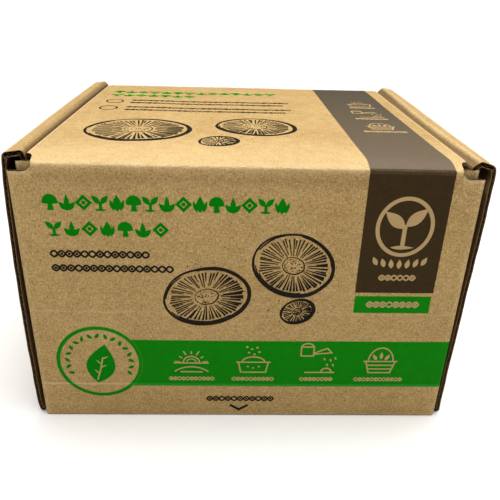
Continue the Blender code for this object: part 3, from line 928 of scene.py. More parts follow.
# ---------------------------------------------------------------- the two creases
def crease(name, centre_y, sign, half, start, end, mats, seed):
    """A fold of board round the corner at centre_y, z 182.5. sign -1 is the front corner, 1 the back one."""
    buf = Buf()
    th = np.linspace(0, 1, 15)

    def M(s, v, w):
        t = v * math.pi / 2
        sn, cs = np.clip(np.sin(t), 0, 1), np.clip(np.cos(t), 0, 1)
        oy, oz = centre_y + sign * 2.5 * sn**0.62, 182.5 + 2.5 * cs**0.62
        p0, p1, p2 = (centre_y - sign * 2.5, 182.5), (centre_y - 0.05, 182.85), (centre_y, 180.0)
        iy = (1 - v) ** 2 * p0[0] + 2 * v * (1 - v) * p1[0] + v**2 * p2[0]
        iz = (1 - v) ** 2 * p0[1] + 2 * v * (1 - v) * p1[1] + v**2 * p2[1]
        k = (w + HALF) / (2 * HALF)
        rough_ = 0.14 * k * np.sin(math.pi * np.clip(v, 0, 1)) * noise(s / 3.2, v * 3, 0, seed)
        return np.stack([s, iy + (oy - iy) * k + sign * rough_, iz + (oz - iz) * k + rough_], -1)

    # painted highlight over the crease's rounded outside
    def tone(s, v, w):
        return (0.50 - 0.35 * v) * (w > 0) * (0.65 + 0.6 * noise(s / 2.0, v * 4, 0, seed + 1)) + 0.25 * (w > 0)

    zero, one = (lambda s, w: 0 * s), (lambda s, w: 0 * s + 1)
    S = samples(-half, half, 1.3)
    layer(buf, S, th, zero, one, M, HALF, HALF - LINER, (0, 2, 2), tone, 0.0, seed)
    layer(buf, S, th, zero, one, M, -HALF + LINER, -HALF, (2, 1, 2), tone, 0.0, seed + 1)
    a = HALF - LINER - 0.11
    Sm = samples(-half + 0.05, half - 0.05, PITCH / 10.0)
    wave = lambda s: 0.55 * a * np.sin(2 * math.pi * s / PITCH)
    layer(buf, Sm, np.linspace(0, 1, 7), zero, one, M, lambda s: wave(s) + 0.1, lambda s: wave(s) - 0.1, (3, 3, 3), None, 0.0, seed + 2)
    # the sheet coordinate runs on in millimetres
    for k in range(len(buf.uv)):
        buf.uv[k][:, 1] *= 3.9
    o = buf.object(name, mats)
    tuple(row(start))
    tuple(row(end))
    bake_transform(o)
    return o


crease("front_crease", 2.5, -1, 125.4, (0, 1.875, 184.375), (0, 0.0, 182.5), [M_CREASE, M_IN, M_EDGE, M_MEDIUM], 51)


def crease_back():
    """The back crease runs from the tray's wall, which stays, to the lid."""
    buf = Buf()
    th = np.linspace(0, 1, 21)
    cy = 248.5

    def M(s, v, w):
        turn = np.clip((v - 0.4) / 0.2, 0, 1) * math.pi / 2
        lift, lift_in = lid_bulge(s, cy), lid_bulge(s, cy - 2.5)
        oy = cy + 1.9 - 1.9 * np.clip((v - 0.6) / 0.4, 0, 1) + 0.6 * np.cos(turn)
        oz = 182.5 + (1.9 + lift) * np.clip(v / 0.4, 0, 1) + 0.6 * np.sin(turn)
        p0, p1, p2 = (cy, 180.0), (cy - 0.35, 182.2 + lift), (cy - 2.5, 182.5 + lift_in)
        iy = (1 - v) ** 2 * p0[0] + 2 * v * (1 - v) * p1[0] + v**2 * p2[0]
        iz = (1 - v) ** 2 * p0[1] + 2 * v * (1 - v) * p1[1] + v**2 * p2[1]
        k = (w + HALF) / (2 * HALF)
        r_ = 0.12 * np.sin(math.pi * np.clip(v, 0, 1)) * noise(s / 3.0, v * 3, 0, 61)
        return np.stack([s, iy + (oy - iy) * k + r_, iz + (oz - iz) * k + r_], -1)

    # painted highlight over the back crease's outside
    def tone(s, v, w):
        return 0.55 * (w > 0) * (0.7 + 0.5 * noise(s / 2.0, v * 4, 0, 62))

    zero, one = (lambda s, w: 0 * s), (lambda s, w: 0 * s + 1)
    S = samples(-127.6, 127.6, 1.3)
    layer(buf, S, th, zero, one, M, HALF, HALF - LINER, (0, 2, 2), tone, 0.0, 63)
    layer(buf, S, th, zero, one, M, -HALF + LINER, -HALF, (2, 1, 2), tone, 0.0, 64)
    a = HALF - LINER - 0.11
    Sm = samples(-127.5, 127.5, PITCH / 10.0)
    wave = lambda s: 0.55 * a * np.sin(2 * math.pi * s / PITCH)
    layer(buf, Sm, np.linspace(0, 1, 7), zero, one, M, lambda s: wave(s) + 0.1, lambda s: wave(s) - 0.1, (3, 3, 3), None, 0.0, 65)
    for k in range(len(buf.uv)):
        buf.uv[k][:, 1] *= 3.9
    o = buf.object("back_crease", [M_CREASE, M_IN, M_EDGE, M_MEDIUM])
    tuple(row((0, 251.0, 182.5)))
    tuple(row((0, 247.25, 186.25)))
    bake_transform(o)


crease_back()

# ---------------------------------------------------------------- base panel stays the CAD's own
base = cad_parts["base_panel"]
M_BASE = kraft("board_base", cad=True)
for sl in base.material_slots:
    sl.material = M_BASE
if not base.material_slots:
    base.data.materials.append(M_BASE)


# ---------------------------------------------------------------- printed line work, as thin films of ink on the board
class Print:
    """Shapes drawn in a panel's own plane, turned into closed films of ink that lie on it."""

    def __init__(self, surface, thick=0.05):
        self.surface, self.thick, self.buf = surface, thick, Buf()

    def _solid(self, pts, tops, loops):
        pts = np.asarray(pts, float)
        top = self.surface(pts[:, 0], pts[:, 1], HALF + self.thick)
        bot = self.surface(pts[:, 0], pts[:, 1], HALF - 0.03)
        n = len(pts)
        faces3, faces4, ngons = [], [], []
        for f in tops:
            f = list(f)
            ngons.append(f)
            ngons.append([i + n for i in reversed(f)])
        for lp in loops:
            m_ = len(lp)
            for i in range(m_):
                a, b = lp[i], lp[(i + 1) % m_]
                ngons.append([b, a, a + n, b + n])
        base_ = self.buf.n
        self.buf.p.append(np.concatenate([top, bot]))
        self.buf.uv.append(np.zeros((2 * n, 3)))
        self.buf.tone.append(np.zeros(2 * n))
        self.buf.n += 2 * n
        self.buf.faces.extend([[i + base_ for i in f] for f in ngons])
        self.buf.mats.extend([0] * len(ngons))

    def poly(self, pts):
        n = len(pts)
        self._solid(pts, [range(n)], [list(range(n))])

    def disc(self, x, y, r, n=14):
        a = np.arange(n) * 2 * math.pi / n
        self.poly(np.stack([x + r * np.cos(a), y + r * np.sin(a)], -1))

    def stroke(self, pts, width, closed=False):
        pts = np.asarray(pts, float)
        n = len(pts)
        width = np.broadcast_to(np.asarray(width, float), (n,))
        nxt = np.roll(pts, -1, 0) if closed else np.concatenate([pts[1:], pts[-1:] * 2 - pts[-2:-1]])
        prv = np.roll(pts, 1, 0) if closed else np.concatenate([pts[:1] * 2 - pts[1:2], pts[:-1]])
        d1, d2 = pts - prv, nxt - pts
        d1 = d1 / np.maximum(np.linalg.norm(d1, axis=1, keepdims=True), 1e-9)
        d2 = d2 / np.maximum(np.linalg.norm(d2, axis=1, keepdims=True), 1e-9)
        t = d1 + d2
        t = t / np.maximum(np.linalg.norm(t, axis=1, keepdims=True), 1e-9)
        nrm = np.stack([-t[:, 1], t[:, 0]], -1)
        c = np.clip((t * d2).sum(1), 0.45, 1)
        off = nrm * (width / 2 / c)[:, None]
        a, b = pts + off, pts - off
        all_ = np.concatenate([a, b])
        if closed:
            tops = [[i, i + n, (i + 1) % n + n, (i + 1) % n] for i in range(n)]
            loops = [list(range(n)), list(range(2 * n - 1, n - 1, -1))]
            tops = [list(reversed(f)) for f in tops]
            loops = [list(range(n - 1, -1, -1)), list(range(n, 2 * n))]
        else:
            tops = [[i, i + 1, i + 1 + n, i + n] for i in range(n - 1)]
            loops = [list(range(n)) + list(range(2 * n - 1, n - 1, -1))]
        self._solid(all_, tops, loops)

    def line(self, *pts, width=0.6):
        self.stroke(np.array(pts, float), width)

    def arc(self, x, y, rx, ry, a0, a1, width, n=24, rot=0.0):
        t = np.radians(np.linspace(a0, a1, n))
        px, py = rx * np.cos(t), ry * np.sin(t)
        c, s_ = math.cos(math.radians(rot)), math.sin(math.radians(rot))
        self.stroke(np.stack([x + c * px - s_ * py, y + s_ * px + c * py], -1), width)

    def oval(self, x, y, rx, ry, width, n=48, rot=0.0):
        t = np.arange(n) * 2 * math.pi / n
        px, py = rx * np.cos(t), ry * np.sin(t)
        c, s_ = math.cos(math.radians(rot)), math.sin(math.radians(rot))
        self.stroke(np.stack([x + c * px - s_ * py, y + s_ * px + c * py], -1), width, closed=True)

    def leaf(self, x, y, length, width, deg, n=9):
        t = np.linspace(0, 1, n)
        w = width / 2 * np.sin(math.pi * t**0.85)
        u = (t - 0.5) * length
        px = np.concatenate([u, u[-2:0:-1]])
        py = np.concatenate([w, -w[-2:0:-1]])
        c, s_ = math.cos(math.radians(deg)), math.sin(math.radians(deg))
        self.poly(np.stack([x + c * px - s_ * py, y + s_ * px + c * py], -1))

    def object(self, name, mat, body, slot):
        o = self.buf.object(name, [mat], smooth=30.0)
        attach(o, body)
        return o


on_flap = lambda x, z, w: flap_point(x, np.asarray(z) * 0.9962, w)
on_lid = lambda x, y, w: lid_point(x, y, w)


def motif(p, kind, x, y, h):
    """One green ornament about h high: cap and stem, fan of leaves, sprout, bud or lozenge."""
    if kind == 0:
        t = np.radians(np.linspace(-8, 188, 22))
        cap = [(x + 0.46 * h * math.cos(u), y + 0.50 * h * math.sin(u)) for u in t]
        p.poly(cap + [(x - 0.13 * h, y - 0.12 * h), (x - 0.19 * h, y - 0.50 * h), (x + 0.19 * h, y - 0.50 * h), (x + 0.13 * h, y - 0.12 * h)])
    elif kind == 1:
        for dg, ln in ((90, 1.0), (132, 0.72), (48, 0.72)):
            c, s_ = math.cos(math.radians(dg)), math.sin(math.radians(dg))
            p.leaf(x + 0.5 * ln * h * c, y - 0.50 * h + 0.5 * ln * h * s_, ln * h, 0.33 * h, dg)
    elif kind == 2:
        p.stroke([(x, y - 0.50 * h), (x, y + 0.06 * h)], 0.19 * h)
        p.leaf(x - 0.25 * h, y + 0.20 * h, 0.70 * h, 0.34 * h, 132)
        p.leaf(x + 0.25 * h, y + 0.20 * h, 0.70 * h, 0.34 * h, 48)
        p.leaf(x, y - 0.44 * h, 0.74 * h, 0.15 * h, 0)
    elif kind == 3:
        p.leaf(x, y, 1.04 * h, 0.50 * h, 90)
        p.leaf(x - 0.30 * h, y - 0.12 * h, 0.76 * h, 0.24 * h, 108)
        p.leaf(x + 0.30 * h, y - 0.12 * h, 0.76 * h, 0.24 * h, 72)
    else:
        q = 0.37 * h
        p.stroke([(x - q, y), (x, y - q), (x + q, y), (x, y + q)], 0.19 * h, closed=True)
        p.disc(x, y, 0.13 * h, 10)


def garland(p, x0, x1, y0, y1, first=0):
    """One unbroken row of ornaments between two heights."""
    h = y1 - y0
    n = max(1, int(round((x1 - x0) / (h * 0.985))))
    dx = (x1 - x0) / n
    order = (0, 1, 4, 2, 3, 0, 2, 1, 4, 3)
    for i in range(n):
        motif(p, order[(i + first) % len(order)], x0 + dx * (i + 0.5), (y0 + y1) / 2, h)


def beads(p, x0, x1, y, h, seed=1, gap=0.22):
    """A fine row of twisted cord: two waves that cross, with a dot in some of the loops."""
    n = max(1, int(round((x1 - x0) / (h * 0.92))))
    dx = (x1 - x0) / n
    for sgn in (-1, 1):
        u = np.linspace(0, n, n * 8 + 1)
        p.stroke(np.stack([x0 + u * dx, y + sgn * 0.40 * h * np.sin(math.pi * u)], -1), 0.26 * h)
    for k in range(n):
        if float(_hash(np.array([k]), np.array([3]), np.array([7]), seed)[0]) < 0.62:
            p.disc(x0 + (k + 0.5) * dx, y, 0.19 * h, 8)


def gills(p, cx, cy, a, b, rot, n, seed, bold=1.2):
    """A round cap seen from below: rim lines, radial gills and a stippled hub."""
    c, s_ = math.cos(math.radians(rot)), math.sin(math.radians(rot))

    def at(r, th):
        px, py = a * r * np.cos(th), b * r * np.sin(th)
        return np.stack([cx + c * px - s_ * py, cy + s_ * px + c * py], -1)

    th = np.arange(96) * 2 * math.pi / 96
    wob = 1 + 0.018 * noise(np.cos(th) * 2.2 + 5, np.sin(th) * 2.2 + 5, 0, seed)
    wid = 1.65 + 0.60 * np.sin(th + 2.2) + 0.16 * noise(np.cos(th) * 4, np.sin(th) * 4, 3, seed)
    p.stroke(at(wob, th), wid * bold, closed=True)
    for k, (r, a0, a1) in enumerate(((0.95, 200, 330), (0.955, 20, 95), (0.91, 215, 300), (0.95, 120, 170))):
        t = np.radians(np.linspace(a0, a1, 26))
        p.stroke(at(r * (1 + 0.008 * noise(t * 3, 0, k, seed)), t), (0.62 + 0.36 * np.sin(np.linspace(0, math.pi, 26))) * bold)
    for k in range(n):
        t = 2 * math.pi * (k + 0.3 * float(noise(k * 1.7, 0, 0, seed))) / n
        r0 = 0.34 + 0.05 * float(noise(k * 0.9, 1, 0, seed))
        r1 = 0.86 + 0.04 * float(noise(k * 1.3, 2, 0, seed))
        if k % 3 == 1:
            r0 += 0.20
        bend = 0.05 * math.sin(t * 2 + seed)
        rr = np.linspace(r0, r1, 7)
        tt = t + bend * (rr - r0)
        p.stroke(at(rr, tt), (0.44 + 0.66 * np.linspace(0, 1, 7) ** 1.2 * (1 + 0.45 * math.sin(t + 2.2))) * bold)
    p.stroke(at(0.275 + 0.012 * noise(np.cos(th) * 3, np.sin(th) * 3, 8, seed), th), 0.75 + 0.25 * np.sin(th + 2.0), closed=True)
    for k in range(34):
        r = 0.235 * math.sqrt(float(_hash(np.array([k]), np.array([1]), np.array([1]), seed)[0]))
        t = 2 * math.pi * float(_hash(np.array([k]), np.array([2]), np.array([1]), seed)[0])
        q = at(np.array([r]), np.array([t]))[0]
        p.disc(q[0], q[1], 0.34 + 0.18 * float(_hash(np.array([k]), np.array([3]), np.array([1]), seed)[0]), 6)


def dust(p, cx, cy, rx, ry, n, seed, keep=None):
    for k in range(n):
        u = float(_hash(np.array([k]), np.array([5]), np.array([2]), seed)[0]) * 2 - 1
        v = float(_hash(np.array([k]), np.array([6]), np.array([2]), seed)[0]) * 2 - 1
        if u * u + v * v < 1 and (keep is None or keep(cx + u * rx, cy + v * ry)):
            p.disc(cx + u * rx, cy + v * ry, 0.28 + 0.30 * float(_hash(np.array([k]), np.array([7]), np.array([2]), seed)[0]), 7)


def icon_sun(p, x, y, s, w):
    """A sun over a low hill."""
    k = s / 20.0
    p.arc(x, y - 3.0 * k, 5.2 * k, 5.2 * k, 0, 180, w, 18)
    p.arc(x, y - 3.0 * k, 3.2 * k, 3.2 * k, 20, 160, w * 0.8, 12)
    for i in range(7):
        t = math.radians(6 + i * 28)
        a, b = (7.0, 10.4) if i % 2 == 0 else (7.0, 9.2)
        p.line((x + a * k * math.cos(t), y - 3.0 * k + a * k * math.sin(t)), (x + b * k * math.cos(t), y - 3.0 * k + b * k * math.sin(t)), width=w)
    p.line((x - 11.0 * k, y - 3.0 * k), (x + 11.0 * k, y - 3.0 * k), width=w)
    p.arc(x, y - 16.0 * k, 13.5 * k, 10.0 * k, 38, 142, w, 16)
    p.line((x - 7.0 * k, y - 10.0 * k), (x + 7.0 * k, y - 10.0 * k), width=w)


def icon_soil(p, x, y, s, w):
    """Grains falling into a bed."""
    k = s / 20.0
    P = lambda *q: p.line(*[(x + a * k, y + b * k) for a, b in q], width=w)
    P((-9.5, -2), (-8, -10), (8, -10), (9.5, -2))
    P((-11, -2), (11, -2))
    p.arc(x, y - 2 * k, 7.2 * k, 4.2 * k, 0, 180, w, 16)
    for a, b in ((-3, 5.5), (0.5, 4.2), (3.6, 6.0), (-1.2, 8.2), (2.2, 9.4), (-4.2, 9.8)):
        p.disc(x + a * k, y + b * k, 0.75 * k, 8)
    for a, b in ((-3.5, -5.5), (0, -6.6), (3.6, -5.4)):
        p.disc(x + a * k, y + b * k, 0.6 * k, 8)


def icon_water(p, x, y, s, w):
    """A can's rose with falling drops."""
    k = s / 20.0
    P = lambda *q: p.line(*[(x + a * k, y + b * k) for a, b in q], width=w)
    P((-11, 3), (-11, 10), (-3, 10), (-3, 3), (-11, 3))
    P((-3, 5), (5.5, 9), (8.5, 5.6), (-3, 4.4))
    p.arc(x - 7 * k, y + 9.6 * k, 4.0 * k, 3.0 * k, 15, 165, w, 12)
    for a, b in ((4, 1.5), (8, 0.5), (11, 2.2), (6, -3), (9.8, -3.2)):
        p.stroke([(x + a * k, y + b * k), (x + (a + 0.5) * k, y + (b - 1.8) * k)], w * 1.1)
    P((-8, -10), (11.5, -10))
    p.arc(x + 6 * k, y - 10 * k, 3.4 * k, 3.4 * k, 0, 180, w, 12)


def icon_basket(p, x, y, s, w):
    """A basket of leaves."""
    k = s / 20.0
    P = lambda *q: p.line(*[(x + a * k, y + b * k) for a, b in q], width=w)
    P((-9.5, -1), (-7, -10), (7, -10), (9.5, -1))
    P((-11, -1), (11, -1))
    P((-8.6, -4), (8.6, -4))
    P((-7.8, -7), (7.8, -7))
    p.arc(x, y - 1 * k, 8.0 * k, 10.5 * k, 0, 180, w, 22)
    for a, b, d in ((-4, 2.2, 120), (0, 3.4, 90), (4, 2.2, 60)):
        p.leaf(x + a * k, y + b * k, 5.4 * k, 2.2 * k, d)


def sprout(p, x, y, k, w):
    """Two leaves on a stem."""
    p.line((x, y - 9 * k), (x, y + 2 * k), width=w)
    p.leaf(x - 4.4 * k, y + 4.0 * k, 11.5 * k, 5.0 * k, 140)
    p.leaf(x + 4.4 * k, y + 5.2 * k, 11.5 * k, 5.0 * k, 44)


# the flap's print
green, black, bare = Print(on_flap), Print(on_flap), Print(on_flap, 0.07)
garland(green, -122.0, 24.8, 157.0, 167.1, 0)
garland(green, -122.0, -47.6, 140.2, 150.3, 6)
beads(black, -121.0, -60.5, 128.2, 5.0, 5)
beads(black, -121.0, -46.0, 118.4, 5.0, 7)
gills(black, -25.5, 99.0, 27.5, 20.5, 12, 58, 3)
gills(black, 29.0, 122.0, 25.5, 21.5, -18, 56, 8)
gills(black, 33.5, 88.5, 11.0, 8.6, 25, 30, 13)
dust(black, 5.0, 108.0, 62.0, 36.0, 60, 4, lambda a, b: ((a + 25.5) / 30) ** 2 + ((b - 99) / 23.5) ** 2 > 1 and ((a - 29) / 29) ** 2 + ((b - 122) / 25) ** 2 > 1 and ((a - 33.5) / 13.5) ** 2 + ((b - 88.5) / 11) ** 2 > 1)
# the ring's leaf and its arc of small leaves
green.leaf(-97.0, 45.0, 33.0, 19.5, 78, 21)
bare.line((-100.6, 31.0), (-97.6, 41.0), (-95.6, 50.5), width=0.9)
for dx_, dz_, dg in ((-98.9, 36.4, 128), (-97.6, 42.0, 24), (-97.0, 44.6, 132), (-96.0, 49.0, 28)):
    bare.leaf(dx_ + 2.2 * math.cos(math.radians(dg)), dz_ + 2.2 * math.sin(math.radians(dg)), 5.4, 0.9, dg)
for k in range(17):
    t = math.radians(204 - k * 228 / 16)
    green.leaf(-98.0 + 21.6 * math.cos(t), 46.2 + 21.6 * math.sin(t), 5.0, 2.4, math.degrees(t) + (32 if k % 2 else -32))
# the band's four pictures and their rows
for fn, x, n in ((icon_sun, -36.0, 15.5), (icon_soil, 6.3, 14.5), (icon_water, 50.4, 11.5), (icon_basket, 94.0, 17.0)):
    fn(bare, x, 49.6, 21.5, 0.95)
    beads(bare, x - n, x + n, 33.0, 3.2, int(x) + 50)
beads(bare, 78.5, 113.0, 94.4, 4.6, 23)
# a small round badge in the dark field
bare.oval(95.8, 149.5, 16.9, 18.8, 2.5, 60)
sprout(bare, 95.8, 148.2, 1.50, 2.7)
bare.leaf(95.8, 135.8, 15.0, 2.6, 0)
for k in range(-3, 4):
    bare.leaf(95.8 + 5.2 * k, 124.2 + 0.22 * k * k, 6.6, 3.2, 90 - 9 * k)
beads(bare, 84.0, 107.6, 114.4, 4.2, 32)
# foot of the flap
beads(black, -25.7, 21.5, 15.2, 4.6, 35)
black.stroke([(-9.3, 9.4), (-2.9, 5.2), (3.5, 9.4)], 2.0)
green.object("flap_print_green", M_GREEN, "flap", "printed_board")
black.object("flap_print_black", M_BLACK, "flap", "printed_board")
bare.object("flap_print_bare", M_BARE, "flap", "printed_board")

# the lid's print
green, black, bare = Print(on_lid), Print(on_lid), Print(on_lid, 0.07)
garland(green, -118.0, 29.4, 207.4, 218.4, 0)
garland(green, -117.6, -43.4, 191.6, 202.6, 6)
for yc in (169.4, 141.6):
    black.oval(-109.2, yc, 6.7, 7.4, 1.4, 28)
    for dy, x1, sd in ((5.0, 37.0, 61), (-5.4, 31.8, 71)):
        beads(black, -95.5, x1, yc + dy, 4.9, sd)
gills(black, -75.1, 73.2, 35.6, 31.0, 8, 60, 17, 1.6)
gills(black, 6.4, 88.0, 28.0, 25.6, -20, 50, 19, 1.6)
gills(black, -19.3, 45.0, 12.8, 11.3, 30, 28, 29, 1.3)
dust(black, -34.5, 75.0, 76.0, 45.0, 70, 9, lambda a, b: ((a + 75.1) / 39) ** 2 + ((b - 73.2) / 34) ** 2 > 1 and ((a - 6.4) / 31) ** 2 + ((b - 88) / 29) ** 2 > 1 and ((a + 19.3) / 16) ** 2 + ((b - 45) / 14) ** 2 > 1)
for fn, xc, yc, n in ((icon_soil, 99.5, 180.0, 10.8), (icon_water, 98.2, 139.0, 12.8), (icon_basket, 99.0, 98.2, 15.6)):
    fn(bare, xc, yc, 20.0, 1.05)
    beads(bare, xc - n, xc + n, yc - 16.2, 4.0, int(yc))
green.object("lid_print_green", M_GREEN, "lid", "printed_board")
black.object("lid_print_black", M_BLACK, "lid", "printed_board")
bare.object("lid_print_bare", M_BARE, "lid", "printed_board")


# ---------------------------------------------------------------- contents
def loop(hx, hy, r, n):
    """Points anticlockwise round a rectangle with rounded corners, the way out from each, and the distance along it."""
    q = Path(-(hx - r), -hy, 0)
    for side in (hx, hy, hx, hy):
        q.line(2 * (side - r)).arc(r, 90)
    t = np.arange(n) / n * q.length
    a, b, na, nb = q.at(t)
    return a, b, na, nb, t


def wrapped(ns, nv, base, flip):
    i, j = np.meshgrid(np.arange(ns), np.arange(nv - 1), indexing="ij")
    k = (i + 1) % ns
    q = base + np.stack([i * nv + j, k * nv + j, k * nv + j + 1, i * nv + j + 1], -1).reshape(-1, 4)
    return q[:, ::-1] if flip else q


CY = 127.25  # middle of the tray's inside


def stuff(name, p, faces, tone, mat, node, smooth=60.0):
    buf = Buf()
    buf.p, buf.uv, buf.tone = [p], [p], [tone]
    buf.n, buf.faces, buf.mats = len(p), [list(f) for f in faces], [0] * len(faces)
    o = buf.object(name, [mat], smooth=smooth)
    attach(o, "tray")
    if node:
        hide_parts(node)
    return o


def film_liner():
    """Film that lines the tray: flat behind the compost, loose and wrinkled above it, its edge flopping inwards."""
    ns = 460
    a, b, na, nb, t = loop(129.85, 120.85, 5.0, ns)
    turns = t / t[-1]
    floor_k = np.array([0.03, 0.35, 0.7, 0.96])
    low = np.array([3.3, 10, 40, 75, 100, 111])
    q = np.linspace(0.03, 1, 26)
    c, s_ = np.cos(turns * 2 * math.pi) * 9, np.sin(turns * 2 * math.pi) * 9
    flop = step(noise(c * 0.5, s_ * 0.5, 0, 101), -0.15, 0.5)
    rows_ = []
    for k in floor_k:
        rows_.append((a * k, b * k, np.full(ns, 3.2)))
    for z in low:
        rows_.append((a, b, np.full(ns, z)))
    for u in q:
        fold = np.abs(noise(c * 2.1, s_ * 2.1, u * 1.6, 102)) * 5.5 + np.abs(noise(c * 3.4, s_ * 3.4, u * 2.2, 103)) * 2.4 + noise(c * 8, s_ * 8, u * 4, 104) * 0.35
        inset = 0.4 + fold * u**0.8 + 15.0 * flop * u**2.6
        top = 112 + 40 * u - 13.0 * flop * u**3.2 + 1.8 * u * noise(c * 1.1, s_ * 1.1, 3, 105)
        rows_.append((a - na * inset, b - nb * inset, top))
    nv = len(rows_)
    out = np.stack([np.stack(r, -1) for r in rows_], 1)
    ins = out.copy()
    ins[:, : len(floor_k), 2] += 0.25
    ins[:, len(floor_k) :, 0] -= na[:, None] * 0.25
    ins[:, len(floor_k) :, 1] -= nb[:, None] * 0.25
    ins[:, len(floor_k), 2] += 0.25
    p = np.concatenate([out.reshape(-1, 3), ins.reshape(-1, 3)])
    p[:, 1] += CY
    n = ns * nv
    faces = list(wrapped(ns, nv, 0, False)) + list(wrapped(ns, nv, n, True))
    for i in range(ns):
        k = (i + 1) % ns
        faces.append((i * nv + nv - 1, k * nv + nv - 1, n + k * nv + nv - 1, n + i * nv + nv - 1))
    faces.append([i * nv for i in range(ns)][::-1])
    faces.append([n + i * nv for i in range(ns)])
    g = G("liner_film")
    vec, xyz = g.vec_mm(g.attr("rest").outputs["Vector"])
    haze = g.noise(vec, 16.0, 3.0, 0.55)
    crinkle = g.noise(vec, 3.2, 3.0, 0.6, 0.8)
    g.set(Base_Color=g.mix(haze, (0.66, 0.69, 0.68), (0.86, 0.88, 0.87)), Roughness=0.24, Normal=g.bump(crinkle * 0.5, 0.7), Specular_IOR_Level=0.5, Alpha=0.46)
    o = stuff("film_liner_sheet", p, faces, np.zeros(len(p)), g.mat, "film_liner")


film_liner()


def compost_top(x, y):
    """Height of the compost's broken surface. It is pressed flat under the bag."""
    h = 111.4 + 1.5 * noise(x / 11.0, y / 11.0, 0, 111) + 1.0 * noise(x / 4.1, y / 4.1, 1, 112) + 0.55 * noise(x / 1.7, y / 1.7, 2, 113)
    under = (1 - step(np.abs(x), 92.0, 104.0)) * (1 - step(np.abs(y - 125.5), 78.0, 90.0))
    return np.minimum(h, 113.4) * (1 - under) + np.minimum(h - 0.6, 111.4) * under


def compost():
    ns = 520
    a, b, na, nb, t = loop(129.05, 119.95, 7.0, ns)
    rows_ = []
    for k in (0.03, 0.4, 0.8, 0.975):
        rows_.append((a * k, b * k, np.full(ns, 3.9)))
    for z in (6.5, 20, 40, 60, 80, 96, 106):
        dent = 0.35 + 0.35 * noise(t / 13.0, z / 13.0, 0, 114)
        rows_.append((a - na * dent, b - nb * dent, np.full(ns, float(z))))
    for k in np.linspace(1, 0, 78) ** 1.0 * 0.985 + 0.008:
        x, y = a * k, b * k
        edge = step(k, 0.90, 0.993) ** 3
        rows_.append((x, y, compost_top(x, y + CY) - 2.6 * edge))
    nv = len(rows_)
    p = np.stack([np.stack(r, -1) for r in rows_], 1).reshape(-1, 3)
    p[:, 1] += CY
    faces = list(wrapped(ns, nv, 0, False))
    faces.append([i * nv for i in range(ns)][::-1])
    faces.append([i * nv + nv - 1 for i in range(ns)])
    g = G("compost")
    vec, xyz = g.vec_mm(g.attr("rest").outputs["Vector"])
    clod = g.noise(vec, 6.0, 4.0, 0.62)
    fine = g.noise(vec, 1.3, 3.0, 0.62)
    col = g.mix((clod * 1.5 + fine * 0.9 - 0.75).clamp(), (0.030, 0.016, 0.008), (0.165, 0.092, 0.043))
    straw = g.noise(g.scaled(vec, (0.22, 1.0, 1.0)), 0.9, 2.0, 0.5, 0.9)
    straw2 = g.noise(g.scaled(vec, (1.0, 0.22, 1.0)), 0.9, 2.0, 0.5, 0.9)
    col = g.mix(g.hi(straw.over(0.655, 0.05), straw2.over(0.665, 0.05)) * 0.8, col, (0.36, 0.235, 0.105))
    web = g.noise(vec, 15.0, 5.0, 0.66, 0.5)
    thread = g.noise(vec, 2.0, 4.0, 0.7, 1.2)
    white = ((web - 0.47) * 5.5 + (thread - 0.5) * 2.6).clamp()
    col = g.mix(white * 0.88, col, (0.74, 0.71, 0.63))
    g.set(Base_Color=col, Roughness=0.94, Normal=g.bump(clod * 1.1 + fine * 0.5 + thread * 0.3, 1.0), Specular_IOR_Level=0.18)
    stuff("compost_block_body", p, faces, np.zeros(len(p)), g.mat, "compost_block")

    # straws that lie in the surface
    rs = np.random.RandomState(7)
    pts, fs = [], []
    for k in range(900):
        x, y = rs.uniform(-124, 124), rs.uniform(-115, 115)
        if abs(x) < 88 and abs(y + CY - 125.5) < 74:
            continue
        ln, rad = rs.uniform(3.5, 13.0), rs.uniform(0.28, 0.62)
        d = rs.uniform(0, 2 * math.pi)
        ux, uy = math.cos(d), math.sin(d)
        ends = []
        for e in (-0.5, 0.5):
            ex, ey = np.clip(x + ux * ln * e, -127, 127), np.clip(y + uy * ln * e, -118, 118)
            if abs(ex) < 101 and abs(ey + CY - 125.5) < 87:
                break
            ez = float(compost_top(ex, ey + CY)) + 0.25 + rs.uniform(-0.4, 0.9)
            ends.append(np.array((ex, ey + CY, ez)))
        if len(ends) < 2:
            continue
        n_, z_ = np.array((-uy, ux, 0.0)), np.array((0.0, 0.0, 1.0))
        base_ = sum(len(q) for q in pts)
        for c in ends:
            pts.append(np.array([c + rad * (math.cos(w) * n_ + 0.75 * math.sin(w) * z_) for w in (0, math.pi / 3, 2 * math.pi / 3, math.pi, 4 * math.pi / 3, 5 * math.pi / 3)]))
        for j in range(6):
            m_ = (j + 1) % 6
            fs.append((base_ + j, base_ + m_, base_ + 6 + m_, base_ + 6 + j))
        fs.append(tuple(base_ + j for j in range(6))[::-1])
        fs.append(tuple(base_ + 6 + j for j in range(6)))
    p = np.concatenate(pts)
    g = G("straw")
    vec, xyz = g.vec_mm(g.attr("rest").outputs["Vector"])
    n1 = g.noise(vec, 9.0, 2.0, 0.5)
    n2 = g.noise(vec, 0.7, 2.0, 0.6)
    g.set(Base_Color=g.mix((n1 * 1.2 + n2 * 0.5 - 0.35).clamp(), (0.135, 0.075, 0.030), (0.47, 0.325, 0.150)), Roughness=0.72, Normal=g.bump(n2 * 0.12, 0.8), Specular_IOR_Level=0.25)
    stuff("compost_straw", p, fs, np.zeros(len(p)), g.mat, None, smooth=40.0)


compost()


